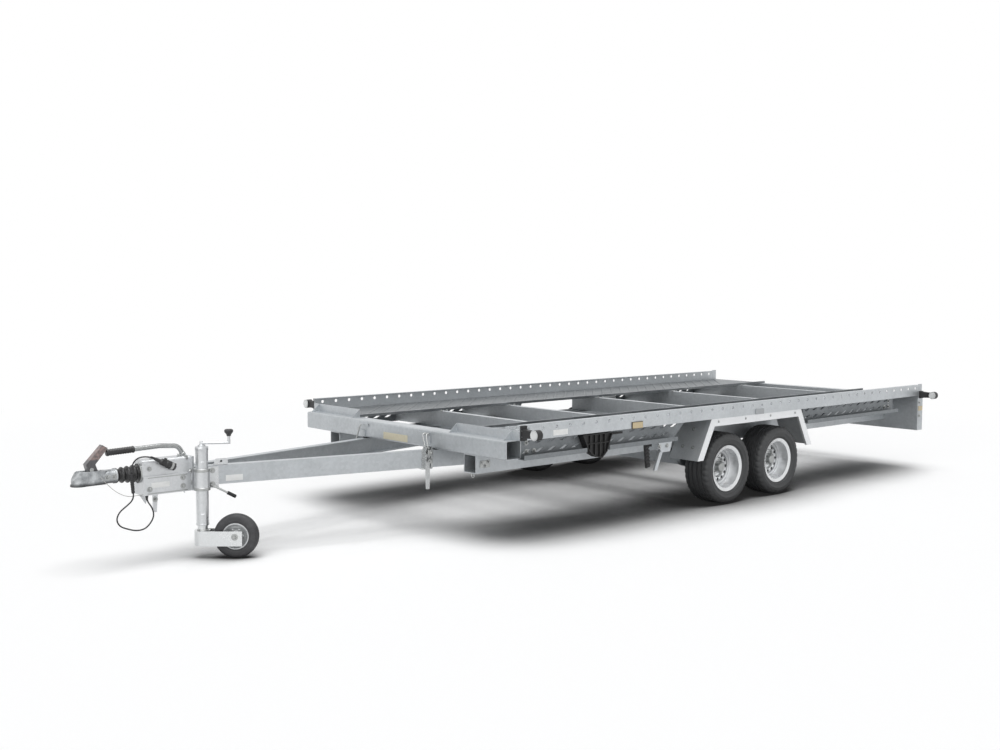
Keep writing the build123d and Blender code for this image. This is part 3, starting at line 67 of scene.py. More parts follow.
# ================================================================ camera
# The trailer is seen off its left front corner, a little above its bed, with a normal
# lens, shifted a little sideways to leave equal room at both ends.
camera_data = bpy.data.cameras.new("camera")
camera_data.sensor_width = 36.0
camera_data.lens = 41.39
camera_data.shift_x = -0.05
camera_data.clip_end = 200.0
camera = bpy.data.objects.new("camera", camera_data)
bpy.context.scene.collection.objects.link(camera)
yaw, pitch, roll = math.radians(-133.2), math.radians(-4.18), math.radians(0.27)
looking = Vector((math.cos(pitch) * math.cos(yaw), math.cos(pitch) * math.sin(yaw), math.sin(pitch)))
camera.location = (4.9878, 5.3623, 1.3223)
camera.rotation_mode = "QUATERNION"
camera.rotation_quaternion = looking.to_track_quat("-Z", "Y") @ Quaternion((0.0, 0.0, 1.0), roll)
bpy.context.scene.camera = camera
bpy.context.scene.view_settings.view_transform = "Standard"

# ================================================================ lighting cable
# The cable to the towing car: a round rubber-jacketed cable from the parked plug, looped
# down in front of the overrun housing and tied there, then up into the housing.
HOUSING_FRONT_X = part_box("overrun_housing")[1][0]
HOUSING_BASE_Z = 0.332
CABLE_DIAMETER = 0.007
CABLE_ROUTE = (
    (0.020, 0.062, 0.524), (0.050, 0.061, 0.503), (0.062, 0.060, 0.462), (0.058, 0.060, 0.414),
    (0.052, 0.060, 0.366), (0.052, 0.058, 0.322), (0.084, 0.054, 0.294), (0.118, 0.052, 0.270),
    (0.134, 0.050, 0.234), (0.118, 0.050, 0.200), (0.080, 0.050, 0.182), (0.038, 0.050, 0.168),
    (-0.004, 0.049, 0.170), (-0.034, 0.048, 0.194), (-0.054, 0.047, 0.230), (-0.044, 0.046, 0.272),
    (-0.020, 0.044, 0.304),
)
PLUG_SLOPE = math.radians(28.0)
plug_way = Vector((-math.cos(PLUG_SLOPE), 0.0, -math.sin(PLUG_SLOPE)))
plug_front = Vector((HOUSING_FRONT_X - 0.056, 0.0633, 0.508))
cable_points = [plug_front, plug_front - plug_way * 0.026]
cable_points += [Vector((HOUSING_FRONT_X + ahead, y, z)) for ahead, y, z in CABLE_ROUTE]
cable_points.append(Vector((cable_points[-1].x, cable_points[-1].y, HOUSING_BASE_Z)))


def linear(code):
    """A colour given as sRGB hex, as linear RGBA."""
    parts = [int(code[i:i + 2], 16) / 255.0 for i in (0, 2, 4)]
    return tuple(c / 12.92 if c <= 0.04045 else ((c + 0.055) / 1.055) ** 2.4 for c in parts) + (1.0,)


def put(tree, kind, values=(), links=()):
    """Add a node, set its properties and sockets, and link sources into its sockets."""
    made = tree.nodes.new(kind)
    for key, value in dict(values).items():
        if isinstance(key, int) or key in made.inputs:
            made.inputs[key].default_value = value
        else:
            setattr(made, key, value)
    for socket, source in dict(links).items():
        tree.links.new(source, made.inputs[socket])
    return made


def start_material(name):
    """A new material, its emptied node tree, and object coordinates in metres."""
    material = bpy.data.materials.new(name)
    material.use_nodes = True
    tree = material.node_tree
    tree.nodes.clear()
    return material, tree, put(tree, "ShaderNodeTexCoord").outputs["Object"]


def end_material(tree, values, links=()):
    """End a material with a principled surface."""
    shader = put(tree, "ShaderNodeBsdfPrincipled", values, links)
    put(tree, "ShaderNodeOutputMaterial", (), {"Surface": shader.outputs[0]})


def moulded(name, colour, dusty, roughness, grain=900.0, depth=0.00015, coat=0.0):
    """Rubber or plastic: fine moulded grain, and a thin uneven bloom of dust."""
    material, tree, place = start_material(name)
    cloud = put(tree, "ShaderNodeTexNoise", {"Scale": 14.0, "Detail": 6.0, "Roughness": 0.65},
                {"Vector": place})
    fine = put(tree, "ShaderNodeTexNoise", {"Scale": grain, "Detail": 2.0}, {"Vector": place})
    dust = put(tree, "ShaderNodeMapRange", {"From Min": 0.42, "From Max": 0.72, "To Max": 0.7},
               {"Value": cloud.outputs[0]})
    shade = put(tree, "ShaderNodeMix", {"data_type": "RGBA", 6: linear(colour), 7: linear(dusty)},
                {0: dust.outputs[0]})
    rough = put(tree, "ShaderNodeMapRange", {"To Min": roughness - 0.06, "To Max": roughness + 0.12},
                {"Value": cloud.outputs[0]})
    bump = put(tree, "ShaderNodeBump", {"Strength": 0.35, "Distance": depth}, {"Height": fine.outputs[0]})
    end_material(tree, {"Coat Weight": coat, "Coat Roughness": 0.25},
                 {"Base Color": shade.outputs[2], "Roughness": rough.outputs[0], "Normal": bump.outputs[0]})
    return material


def add_cord(name, points, diameter, material, node):
    """A smooth round cord along a NURBS curve through its route's control points."""
    data = bpy.data.curves.new(name, "CURVE")
    data.dimensions = "3D"
    data.bevel_depth = diameter / 2.0
    data.bevel_resolution = 5
    data.resolution_u = 16
    data.use_fill_caps = True
    spline = data.splines.new("NURBS")
    spline.points.add(len(points) - 1)
    for point, place in zip(spline.points, points):
        point.co = (*place, 1.0)
    spline.order_u = 3
    spline.use_endpoint_u = True
    data.materials.append(material)
    cord = bpy.data.objects.new(name, data)
    bpy.context.scene.collection.objects.link(cord)
    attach(cord, "chassis")
    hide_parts(node)
    return cord


cable_jacket = moulded("black rubber cable jacket", "1F1F21", "3A3A3C", 0.5)
lighting_cable = add_cord("lighting_cable", cable_points, CABLE_DIAMETER, cable_jacket, "plug_cable")

# ================================================================ breakaway wire
# A thin steel wire in a clear sleeve from the coupling's left side to the housing: it pulls
# the brake on if the coupling comes off the ball.
WIRE_DIAMETER = 0.003
WIRE_ROUTE = (
    (0.194, 0.029, 0.442), (0.193, 0.040, 0.438), (0.180, 0.045, 0.418), (0.158, 0.047, 0.392),
    (0.130, 0.049, 0.366), (0.098, 0.050, 0.346), (0.064, 0.050, 0.336), (0.032, 0.048, 0.338),
    (0.000, 0.048, 0.338),
)
wire_sleeve, tree, place = start_material("steel wire in a clear sleeve, grey")
strands = put(tree, "ShaderNodeTexWave", {"Scale": 260.0, "bands_direction": "DIAGONAL"}, {"Vector": place})
lay_bump = put(tree, "ShaderNodeBump", {"Strength": 0.5, "Distance": 0.0003}, {"Height": strands.outputs[1]})
end_material(tree, {"Base Color": linear("A9A9A6"), "Metallic": 0.4, "Roughness": 0.35, "Coat Weight": 0.5},
             {"Normal": lay_bump.outputs[0]})
wire_points = [Vector((HOUSING_FRONT_X + ahead, y, z)) for ahead, y, z in WIRE_ROUTE]
breakaway_wire = add_cord("breakaway_wire", wire_points, WIRE_DIAMETER, wire_sleeve, "breakaway_cable")

# ================================================================ floor and light
# Seamless white studio: a smooth painted floor that keeps the soft shadow under the
# trailer, its colour darkened near the trailer as painted shade, and runs out to plain white,
# under a wide overhead bank of lights and a weaker one from ahead.
SHADOW_REACH = 5.2         # the floor's own light falls off to plain white beyond this


def seen_rays(tree):
    """1 for the rays that see the background: straight, in a mirror or through a lens."""
    path = put(tree, "ShaderNodeLightPath")
    mirrored = put(tree, "ShaderNodeMath", {"operation": "MAXIMUM"},
                   {0: path.outputs["Is Glossy Ray"], 1: path.outputs["Is Transmission Ray"]})
    shown = put(tree, "ShaderNodeMath", {"operation": "MAXIMUM"},
                {0: path.outputs["Is Camera Ray"], 1: mirrored.outputs[0]})
    return shown.outputs[0]


floor_material, tree, place = start_material("white studio floor paint")
centred = put(tree, "ShaderNodeVectorMath", {"operation": "LENGTH"}, {0: place})
fade = put(tree, "ShaderNodeMapRange", {"From Min": SHADOW_REACH, "From Max": SHADOW_REACH + 2.5,
                                        "interpolation_type": "SMOOTHSTEP"},
           {"Value": centred.outputs["Value"]})
lift = put(tree, "ShaderNodeMapRange", {"To Min": 0.015, "To Max": 1.0}, {"Value": fade.outputs[0]})
plain = put(tree, "ShaderNodeMath", {"operation": "MULTIPLY"}, {0: lift.outputs[0], 1: seen_rays(tree)})
# painted shade: the floor's colour is darkened by ambient occlusion where the trailer stands close over it, a
# painted contact shadow
cover = put(tree, "ShaderNodeAmbientOcclusion", {"samples": 32, "Distance": 0.95})
unshaded_paint_share = put(tree, "ShaderNodeMapRange",
                 {"From Min": 0.40, "From Max": 0.82, "To Min": 0.02, "To Max": 1.0},
                 {"Value": cover.outputs["AO"]})
tone = put(tree, "ShaderNodeMix", {"data_type": "RGBA", 6: linear("101011"), 7: linear("FCFCFC")},
           {0: unshaded_paint_share.outputs[0]})
paint = put(tree, "ShaderNodeBsdfDiffuse", {"Roughness": 0.0}, {"Color": tone.outputs[2]})
glow = put(tree, "ShaderNodeEmission", {"Color": (1.0, 1.0, 1.0, 1.0), "Strength": 1.0})
seen_floor = put(tree, "ShaderNodeMixShader", (),
                 {0: plain.outputs[0], 1: paint.outputs[0], 2: glow.outputs[0]})
put(tree, "ShaderNodeOutputMaterial", (), {"Surface": seen_floor.outputs[0]})
floor_mesh = bpy.data.meshes.new("studio_floor")
floor_mesh.from_pydata([(x, y, 0.0) for x, y in ((-26, -26), (22, -26), (22, 22), (-26, 22))], [],
                       [(0, 1, 2, 3)])
floor = bpy.data.objects.new("studio_floor", floor_mesh)
floor_mesh.materials.append(floor_material)
bpy.context.scene.collection.objects.link(floor)

world = bpy.data.worlds.new("white surround")
bpy.context.scene.world = world
world.use_nodes = True
tree = world.node_tree
tree.nodes.clear()
seen = put(tree, "ShaderNodeBackground", {"Color": (1.0, 1.0, 1.0, 1.0), "Strength": 1.0})
lit = put(tree, "ShaderNodeBackground", {"Color": linear("F4F6F8"), "Strength": 0.22})
chosen = put(tree, "ShaderNodeMixShader", (), {0: seen_rays(tree), 1: lit.outputs[0], 2: seen.outputs[0]})
put(tree, "ShaderNodeOutputWorld", (), {"Surface": chosen.outputs[0]})

for name, energy, spread, way in (("overhead_light_bank", 2.25, 48.0, (-0.05, -0.12, -1.0)),
                                  ("front_soft_light", 0.95, 70.0, (-0.80, -0.62, -0.36))):
    light_data = bpy.data.lights.new(name, "SUN")
    light_data.energy = energy
    light_data.angle = math.radians(spread)
    light = bpy.data.objects.new(name, light_data)
    light.rotation_mode = "QUATERNION"
    light.rotation_quaternion = Vector(way).to_track_quat("-Z", "Y")
    bpy.context.scene.collection.objects.link(light)

# ================================================================ galvanised frame
# Folded and welded channels, tubes and sheet, hot-dip galvanised after welding: a matt
# grey zinc skin with faint crystals and cloudy patches, the webs painted a darker grey as painted shade under
# the rails, and duller deep inside.


def finish(names, material):
    """Give CAD solids a material."""
    for name in names:
        mesh = nodes[name].data
        mesh.materials.clear()
        mesh.materials.append(material)


def galvanised(name, pale, dark, roughness, spangle=70.0, metallic=0.7):
    """Hot-dip zinc: cloudy patches and a faint crystal pattern, with a fine speckled bump."""
    material, tree, place = start_material(name)
    cloud = put(tree, "ShaderNodeTexNoise", {"Scale": 4.0, "Detail": 7.0, "Roughness": 0.62},
                {"Vector": place})
    crystal = put(tree, "ShaderNodeTexVoronoi", {"Scale": spangle, "Randomness": 1.0}, {"Vector": place})
    speckle = put(tree, "ShaderNodeTexNoise", {"Scale": 260.0, "Detail": 3.0}, {"Vector": place})
    grey = put(tree, "ShaderNodeSeparateColor", (), {0: crystal.outputs["Color"]})
    part = put(tree, "ShaderNodeMath", {"operation": "MULTIPLY_ADD", 1: 0.22}, {0: grey.outputs[0]})
    tree.links.new(cloud.outputs[0], part.inputs[2])
    tone = put(tree, "ShaderNodeMapRange", {"From Min": 0.25, "From Max": 1.05}, {"Value": part.outputs[0]})
    shade = put(tree, "ShaderNodeMix", {"data_type": "RGBA", 6: linear(dark), 7: linear(pale)},
                {0: tone.outputs[0]})
    rough = put(tree, "ShaderNodeMapRange", {"To Min": roughness + 0.10, "To Max": roughness - 0.08},
                {"Value": part.outputs[0]})
    bump = put(tree, "ShaderNodeBump", {"Strength": 0.25, "Distance": 0.0004}, {"Height": speckle.outputs[0]})
    end_material(tree, {"Metallic": metallic},
                 {"Base Color": shade.outputs[2], "Roughness": rough.outputs[0], "Normal": bump.outputs[0]})
    return material


frame_steel = galvanised("galvanised steel, frame tubes and channels", "C6CACD", "AAAEB1", 0.44)
sheet_steel = galvanised("galvanised steel, folded rail sheet", "CBCFD2", "B0B4B7", 0.40, 90.0)
bright_steel = galvanised("galvanised steel, bright guard edging", "EDEFF0", "DCDEE0", 0.38, 110.0)
# painted shade: the webs' zinc is given a darker grey than the frame's, standing in for the shade under the
# rails
shade_darkened_web_steel = galvanised("galvanised steel, web sheet painted darker as shade", "8B8F92", "74787B", 0.52, 80.0)
finish(["longitudinal_left", "longitudinal_right", "cross_members", "chassis_cross", "front_beam",
        "rear_beam", "chassis_side_left", "chassis_side_right", "drawbar_left", "drawbar_right"], frame_steel)
finish(["side_rail_left", "side_rail_right", "wheel_stop_left", "wheel_stop_right"], sheet_steel)
finish(["side_beam_left", "side_beam_right"], shade_darkened_web_steel)

# ================================================================ wheel tracks
# Wheel tracks of folded sheet between the rails and the inner frame, with diagonal grip
# ribs pressed up at a steady pitch: galvanised, painted dark between the ribs as painted shade and paler on
# the ribs' tops as painted highlight, with faint tyre scuffs.
TRACK_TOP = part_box("track_left")[1].z
material, tree, place = start_material("galvanised steel, track sheet scuffed by tyres")
cloud = put(tree, "ShaderNodeTexNoise", {"Scale": 3.0, "Detail": 8.0, "Roughness": 0.7}, {"Vector": place})
split = put(tree, "ShaderNodeSeparateXYZ", (), {0: place})
raised = put(tree, "ShaderNodeMapRange", {"From Min": TRACK_TOP - 0.0035, "From Max": TRACK_TOP - 0.0005},
             {"Value": split.outputs[2]})
stretched = put(tree, "ShaderNodeMapping", {"Scale": (2.0, 60.0, 2.0)}, {"Vector": place})
scuffs = put(tree, "ShaderNodeTexNoise", {"Scale": 3.0, "Detail": 6.0}, {"Vector": stretched.outputs[0]})
worn = put(tree, "ShaderNodeMapRange", {"From Min": 0.4, "From Max": 0.75}, {"Value": scuffs.outputs[0]})
# painted shade: the flat sheet between the ribs is given a dark grey
base = put(tree, "ShaderNodeMix", {"data_type": "RGBA", 6: linear("53575A"), 7: linear("6E7275")},
           {0: cloud.outputs[0]})
# painted highlight and wear: the ribs' tops are made paler, with faint scuffs over all
faint = put(tree, "ShaderNodeMath", {"operation": "MULTIPLY", 1: 0.30}, {0: worn.outputs[0]})
rib_highlight_and_wear = put(tree, "ShaderNodeMath", {"operation": "MULTIPLY_ADD", 1: 0.72},
             {0: raised.outputs[0], 2: faint.outputs[0]})
shade = put(tree, "ShaderNodeMix", {"data_type": "RGBA", 7: linear("D2D5D7")},
            {0: rib_highlight_and_wear.outputs[0], 6: base.outputs[2]})
speckle = put(tree, "ShaderNodeTexNoise", {"Scale": 240.0, "Detail": 3.0}, {"Vector": place})
bump = put(tree, "ShaderNodeBump", {"Strength": 0.3, "Distance": 0.0004}, {"Height": speckle.outputs[0]})
rough = put(tree, "ShaderNodeMapRange", {"To Min": 0.52, "To Max": 0.38}, {"Value": cloud.outputs[0]})
end_material(tree, {"Metallic": 0.7},
             {"Base Color": shade.outputs[2], "Roughness": rough.outputs[0], "Normal": bump.outputs[0]})
finish(["track_left", "track_right"], material)

# ================================================================ frame bolts
# Zinc plated hexagon bolts on washers: they hold the web ends to the beam, the guards to
# the frame, the drawbar to the side members and the overrun housing to the drawbar.


def turned(bm, outline, foot, way, steps=32, hollow=False, material=0, start=0.0):
    """Turn an outline of (radius, reach) about an axis; hollow joins the outline's ends."""
    along = Vector(way).normalized()
    across = along.orthogonal().normalized()
    third = along.cross(across)
    rows = []
    for radius, reach in outline:
        middle = Vector(foot) + along * reach
        if radius < 1e-6:
            rows.append([bm.verts.new(middle)])
            continue
        angles = (start + 2.0 * math.pi * i / steps for i in range(steps))
        rows.append([bm.verts.new(middle + (across * math.cos(a) + third * math.sin(a)) * radius)
                     for a in angles])
    pairs = list(zip(rows, rows[1:])) + ([(rows[-1], rows[0])] if hollow else [])
    for first, second in pairs:
        for i in range(steps):
            j = (i + 1) % steps
            corners = (first[i % len(first)], first[j % len(first)], second[j % len(second)],
                       second[i % len(second)])
            corners = list(dict.fromkeys(corners))
            if len(corners) > 2:
                bm.faces.new(corners).material_index = material


def seat(at, out, up=(0.0, 0.0, 1.0)):
    """A frame at a point: its z points out, and its y as nearly up as it can."""
    z = Vector(out).normalized()
    x = Vector(up).cross(z)
    x = x.normalized() if x.length > 1e-4 else z.orthogonal().normalized()
    turn = Matrix((x, z.cross(x), z)).transposed().to_4x4()
    return Matrix.Translation(Vector(at)) @ turn


def plate(bm, outline, low, high, frame, ease=0.0, material=0):
    """A plate: an outline in a frame's x and y, between two heights, its edges eased."""
    part = bmesh.new()
    face = part.faces.new([part.verts.new((x, y, low)) for x, y in outline])
    raised = bmesh.ops.extrude_face_region(part, geom=[face])["geom"]
    moved = [v for v in raised if isinstance(v, bmesh.types.BMVert)]
    bmesh.ops.translate(part, verts=moved, vec=(0.0, 0.0, high - low))
    if ease:
        bmesh.ops.bevel(part, geom=part.edges[:], offset=ease, segments=2, profile=0.7, affect="EDGES",
                        clamp_overlap=True)
    bmesh.ops.recalc_face_normals(part, faces=part.faces)
    for face in part.faces:
        face.material_index = material
    part.transform(frame)
    joined = bpy.data.meshes.new("plate")
    part.to_mesh(joined)
    part.free()
    bm.from_mesh(joined)
    bpy.data.meshes.remove(joined)


def oblong(width, height, x=0.0, y=0.0):
    """Corners of an oblong about a point."""
    return [(x - width / 2, y - height / 2), (x + width / 2, y - height / 2),
            (x + width / 2, y + height / 2), (x - width / 2, y + height / 2)]


def hex_bolt(bm, at, out, across, material=0, stub=0.0):
    """A hexagon head on its washer; a stub is the thread end that stands out of a nut."""
    washer, height, corner = across * 1.05, across * 0.14, across / math.sqrt(3.0)
    turned(bm, ((0.0, 0.0), (washer, 0.0), (washer, height), (washer * 0.5, height * 1.2)), at, out, 20,
           material=material)
    turned(bm, ((corner, height), (corner, across * 0.68), (corner * 0.86, across * 0.78),
                (0.0, across * 0.78)), at, out, 6, material=material, start=at[0] * 90.0)
    if stub:
        turned(bm, ((across * 0.3, across * 0.7), (across * 0.3, across * 0.8 + stub), (across * 0.24, across
               * 0.85 + stub), (0.0, across * 0.85 + stub)), at, out, 12, material=material)


def add_piece(name, bm, materials, body, smooth=35.0, stands_for=()):
    """Make a piece from a bmesh: it rides on a body and takes the given materials."""
    bmesh.ops.recalc_face_normals(bm, faces=bm.faces)
    data = bpy.data.meshes.new(name)
    bm.to_mesh(data)
    bm.free()
    for material in materials:
        data.materials.append(material)
    for polygon in data.polygons:
        polygon.use_smooth = True
    data.set_sharp_from_angle(angle=math.radians(smooth))
    piece = bpy.data.objects.new(name, data)
    bpy.context.scene.collection.objects.link(piece)
    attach(piece, body)
    if stands_for:
        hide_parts(*stands_for)
    return piece


zinc_plate, tree, place = start_material("zinc plated bolt steel")
cloud = put(tree, "ShaderNodeTexNoise", {"Scale": 60.0, "Detail": 4.0}, {"Vector": place})
shade = put(tree, "ShaderNodeMix", {"data_type": "RGBA", 6: linear("8F9293"), 7: linear("BCBDBB")},
            {0: cloud.outputs[0]})
rough = put(tree, "ShaderNodeMapRange", {"To Min": 0.38, "To Max": 0.24}, {"Value": cloud.outputs[0]})
bump = put(tree, "ShaderNodeBump", {"Strength": 0.2, "Distance": 0.0002}, {"Height": cloud.outputs[0]})
end_material(tree, {"Metallic": 0.9},
             {"Base Color": shade.outputs[2], "Roughness": rough.outputs[0], "Normal": bump.outputs[0]})

BEAM_FRONT_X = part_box("longitudinal_left")[1].x + 0.008
RAIL_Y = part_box("side_rail_left")[1].y
WEB_FACE_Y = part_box("side_beam_left")[1].y - 0.045 + 0.0002
REAR_FACE_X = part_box("rear_beam")[0].x
GUARD_FACE_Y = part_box("mudguard_left")[1].y
bed_bolts = bmesh.new()
for side in (1, -1):
    out = (0.0, side, 0.0)
    for x, z in ((BEAM_FRONT_X - 0.152, 0.486), (BEAM_FRONT_X - 0.207, 0.486), (BEAM_FRONT_X - 0.152, 0.532)):
        hex_bolt(bed_bolts, (x, side * WEB_FACE_Y, z), out, 0.013, stub=0.003)
    for x, z in ((REAR_FACE_X + 0.42, 0.49), (REAR_FACE_X + 0.42, 0.53), (REAR_FACE_X + 0.47, 0.49)):
        hex_bolt(bed_bolts, (x, side * WEB_FACE_Y, z), out, 0.013, stub=0.003)
    for x, z in ((REAR_FACE_X + 0.048, 0.50), (REAR_FACE_X + 0.048, 0.40)):
        hex_bolt(bed_bolts, (x, side * (RAIL_Y + 0.0002), z), out, 0.013)
add_piece("bed_bolts", bed_bolts, [zinc_plate], "bed")

# ================================================================ drawbar bolts
# The drawbar channels lap the side members and are through-bolted there, and the overrun
# housing's flange is bolted across the drawbar's front ends.
DRAWBAR_SLOPE = 0.2312
drawbar_out = Vector((DRAWBAR_SLOPE, 1.0, 0.0)).normalized()
APEX_X = HOUSING_FRONT_X - 0.255
APEX_Y = 0.057


def drawbar_face(x, z, side=1, clear=0.0003):
    """A point on the outer face of a drawbar beam and the way out from it."""
    place = Vector((x, APEX_Y + DRAWBAR_SLOPE * (APEX_X - x), z)) + drawbar_out * clear
    return Vector((place.x, side * place.y, place.z)), Vector((drawbar_out.x, side * drawbar_out.y, 0.0))


chassis_bolts = bmesh.new()
for side in (1, -1):
    for x, z in ((0.20, 0.378), (0.20, 0.424), (0.33, 0.378), (0.33, 0.424)):
        hex_bolt(chassis_bolts, *drawbar_face(x, z, side), 0.019, stub=0.005)
    for z in (0.372, 0.428):
        hex_bolt(chassis_bolts, (HOUSING_FRONT_X - 0.2445, side * 0.048, z), (1.0, 0.0, 0.0), 0.013)
    for x, z in ((HOUSING_FRONT_X - 0.030, 0.360), (HOUSING_FRONT_X - 0.200, 0.360),
                 (HOUSING_FRONT_X - 0.200, 0.402)):
        hex_bolt(chassis_bolts, (x, side * 0.0552, z), (0.0, side, 0.0), 0.013)
    for x in (HOUSING_FRONT_X - 0.035, HOUSING_FRONT_X - 0.135):
        hex_bolt(chassis_bolts, (x, side * 0.0462, 0.458), (0.0, side, 0.0), 0.011)
add_piece("drawbar_bolts", chassis_bolts, [zinc_plate], "chassis")

# ================================================================ road tyres
# Low-profile 10 inch trailer tyres: black rubber, a tread of five ribs with four grooves
# and sipes cut across the shoulders, and plain moulded rings on the sidewalls.
WHEEL_X = {"front": -0.690, "rear": -1.217}
WHEEL_Y, TYRE_R = 0.8575, 0.2245
GROOVE = 0.007
SIPE = 0.0045
tyre_rubber, tree, place = start_material("tyre rubber, black, lightly dusted")
cloud = put(tree, "ShaderNodeTexNoise", {"Scale": 9.0, "Detail": 7.0, "Roughness": 0.6}, {"Vector": place})
fine = put(tree, "ShaderNodeTexNoise", {"Scale": 700.0, "Detail": 2.0}, {"Vector": place})
shade = put(tree, "ShaderNodeMix", {"data_type": "RGBA", 6: linear("2C2D2E"), 7: linear("4B4C4D")},
            {0: cloud.outputs[0]})
rough = put(tree, "ShaderNodeMapRange", {"To Min": 0.46, "To Max": 0.66}, {"Value": cloud.outputs[0]})
bump = put(tree, "ShaderNodeBump", {"Strength": 0.3, "Distance": 0.0002}, {"Height": fine.outputs[0]})
end_material(tree, {"Specular IOR Level": 0.45},
             {"Base Color": shade.outputs[2], "Roughness": rough.outputs[0], "Normal": bump.outputs[0]})

outer_half = [
    # radius, reach outboard, and how deep a sipe cuts there
    (0.1285, 0.0705, 0.0), (0.1300, 0.0752, 0.0), (0.1455, 0.0765, 0.0), (0.1500, 0.0812, 0.0),
    (0.1560, 0.0862, 0.0), (0.1576, 0.0884, 0.0), (0.1600, 0.0884, 0.0), (0.1612, 0.0884, 0.0),
    (0.1680, 0.0922, 0.0), (0.1790, 0.0952, 0.0), (0.1804, 0.0964, 0.0), (0.1822, 0.0964, 0.0),
    (0.1836, 0.0958, 0.0), (0.1905, 0.0962, 0.0), (0.1985, 0.0945, 0.0012), (0.2000, 0.0932, 0.0020),
    (0.2080, 0.0900, SIPE), (0.2150, 0.0845, SIPE), (0.2195, 0.0775, SIPE), (0.2212, 0.0700, SIPE),
    (0.2222, 0.0575, SIPE), (0.2222, 0.0560, 0.0), (0.2222 - GROOVE, 0.0540, 0.0),
    (0.2222 - GROOVE, 0.0480, 0.0), (0.2236, 0.0460, 0.0), (0.2238, 0.0445, SIPE * 0.5),
    (0.2241, 0.0255, SIPE * 0.5), (0.2241, 0.0240, 0.0), (0.2241 - GROOVE, 0.0222, 0.0),
    (0.2241 - GROOVE, 0.0150, 0.0), (0.2243, 0.0132, 0.0), (0.2245, 0.0118, SIPE * 0.4),
]
tyre_section = outer_half + [(r, -reach, cut) for r, reach, cut in reversed(outer_half)]
TYRE_STEPS = 144
for name, x in WHEEL_X.items():
    for side, hand in ((1, "left"), (-1, "right")):
        bm = bmesh.new()
        rings = []
        for radius, reach, cut in tyre_section:
            ring = []
            for step in range(TYRE_STEPS):
                angle = 2.0 * math.pi * (step + 40.0 * abs(reach)) / TYRE_STEPS
                r = radius - (cut if step % 4 == 0 else 0.0)
                ring.append(bm.verts.new((x + r * math.sin(angle), side * (WHEEL_Y + reach),
                                          TYRE_R + r * math.cos(angle))))
            rings.append(ring)
        for first, second in zip(rings, rings[1:] + rings[:1]):
            for step in range(TYRE_STEPS):
                after = (step + 1) % TYRE_STEPS
                bm.faces.new((first[step], first[after], second[after], second[step]))
        add_piece(f"road_tyre_{name}_{hand}", bm, [tyre_rubber], f"wheel_{name}_{hand}",
                  smooth=32.0, stands_for=(f"tyre_{name}_{hand}",))

# ================================================================ wheel rims
# Pressed steel rims, spun and welded, sprayed with silver wheel paint, with grey rings of painted
# shade in the well, in the rim's steps and round the vents.
silver_paint, tree, place = start_material("silver wheel paint")
cloud = put(tree, "ShaderNodeTexNoise", {"Scale": 12.0, "Detail": 6.0}, {"Vector": place})
flake = put(tree, "ShaderNodeTexVoronoi", {"Scale": 1400.0}, {"Vector": place})
grey = put(tree, "ShaderNodeSeparateColor", (), {0: flake.outputs["Color"]})
part = put(tree, "ShaderNodeMath", {"operation": "MULTIPLY_ADD", 1: 0.25}, {0: grey.outputs[0]})
tree.links.new(cloud.outputs[0], part.inputs[2])
shade = put(tree, "ShaderNodeMix", {"data_type": "RGBA", 6: linear("C2C5C7"), 7: linear("EDEEEF")},
            {0: part.outputs[0]})
# distance from the nearer axle, for the painted shade that sits in the rim's steps
split = put(tree, "ShaderNodeSeparateXYZ", (), {0: place})
reaches = []
for x in WHEEL_X.values():
    ahead = put(tree, "ShaderNodeMath", {"operation": "SUBTRACT", 1: x}, {0: split.outputs[0]})
    reaches.append(put(tree, "ShaderNodeMath", {"operation": "ABSOLUTE"}, {0: ahead.outputs[0]}))
nearer = put(tree, "ShaderNodeMath", {"operation": "MINIMUM"},
             {0: reaches[0].outputs[0], 1: reaches[1].outputs[0]})
up = put(tree, "ShaderNodeMath", {"operation": "SUBTRACT", 1: TYRE_R}, {0: split.outputs[2]})
flat = put(tree, "ShaderNodeCombineXYZ", (), {0: nearer.outputs[0], 1: up.outputs[0]})
reach = put(tree, "ShaderNodeVectorMath", {"operation": "LENGTH"}, {0: flat.outputs[0]})
steps = put(tree, "ShaderNodeValToRGB", (), {0: reach.outputs["Value"]})
# painted shade: how far the paint is darkened at each radius, in the rim's steps and round the vents
RIM_STEP_SHADE_RINGS = ((0.040, 0.25), (0.056, 0.05), (0.078, 0.10), (0.086, 0.75), (0.092, 0.80), (0.097, 0.12),
              (0.108, 0.10), (0.112, 0.62), (0.117, 0.05), (0.130, 0.0))
for _ in RIM_STEP_SHADE_RINGS[2:]:
    steps.color_ramp.elements.new(0.5)
for element, (radius, dust) in zip(steps.color_ramp.elements, RIM_STEP_SHADE_RINGS):
    element.position = radius
    element.color = (dust, dust, dust, 1.0)
step_shaded_paint = put(tree, "ShaderNodeMix", {"data_type": "RGBA", 7: linear("5C5F61")},
            {0: steps.outputs[0], 6: shade.outputs[2]})
bump = put(tree, "ShaderNodeBump", {"Strength": 0.12, "Distance": 0.0002}, {"Height": grey.outputs[0]})
end_material(tree, {"Metallic": 0.7, "Roughness": 0.27, "Coat Weight": 0.5, "Coat Roughness": 0.10},
             {"Base Color": step_shaded_paint.outputs[2], "Normal": bump.outputs[0]})
finish([f"rim_{name}_{hand}" for name in WHEEL_X for hand in ("left", "right")], silver_paint)

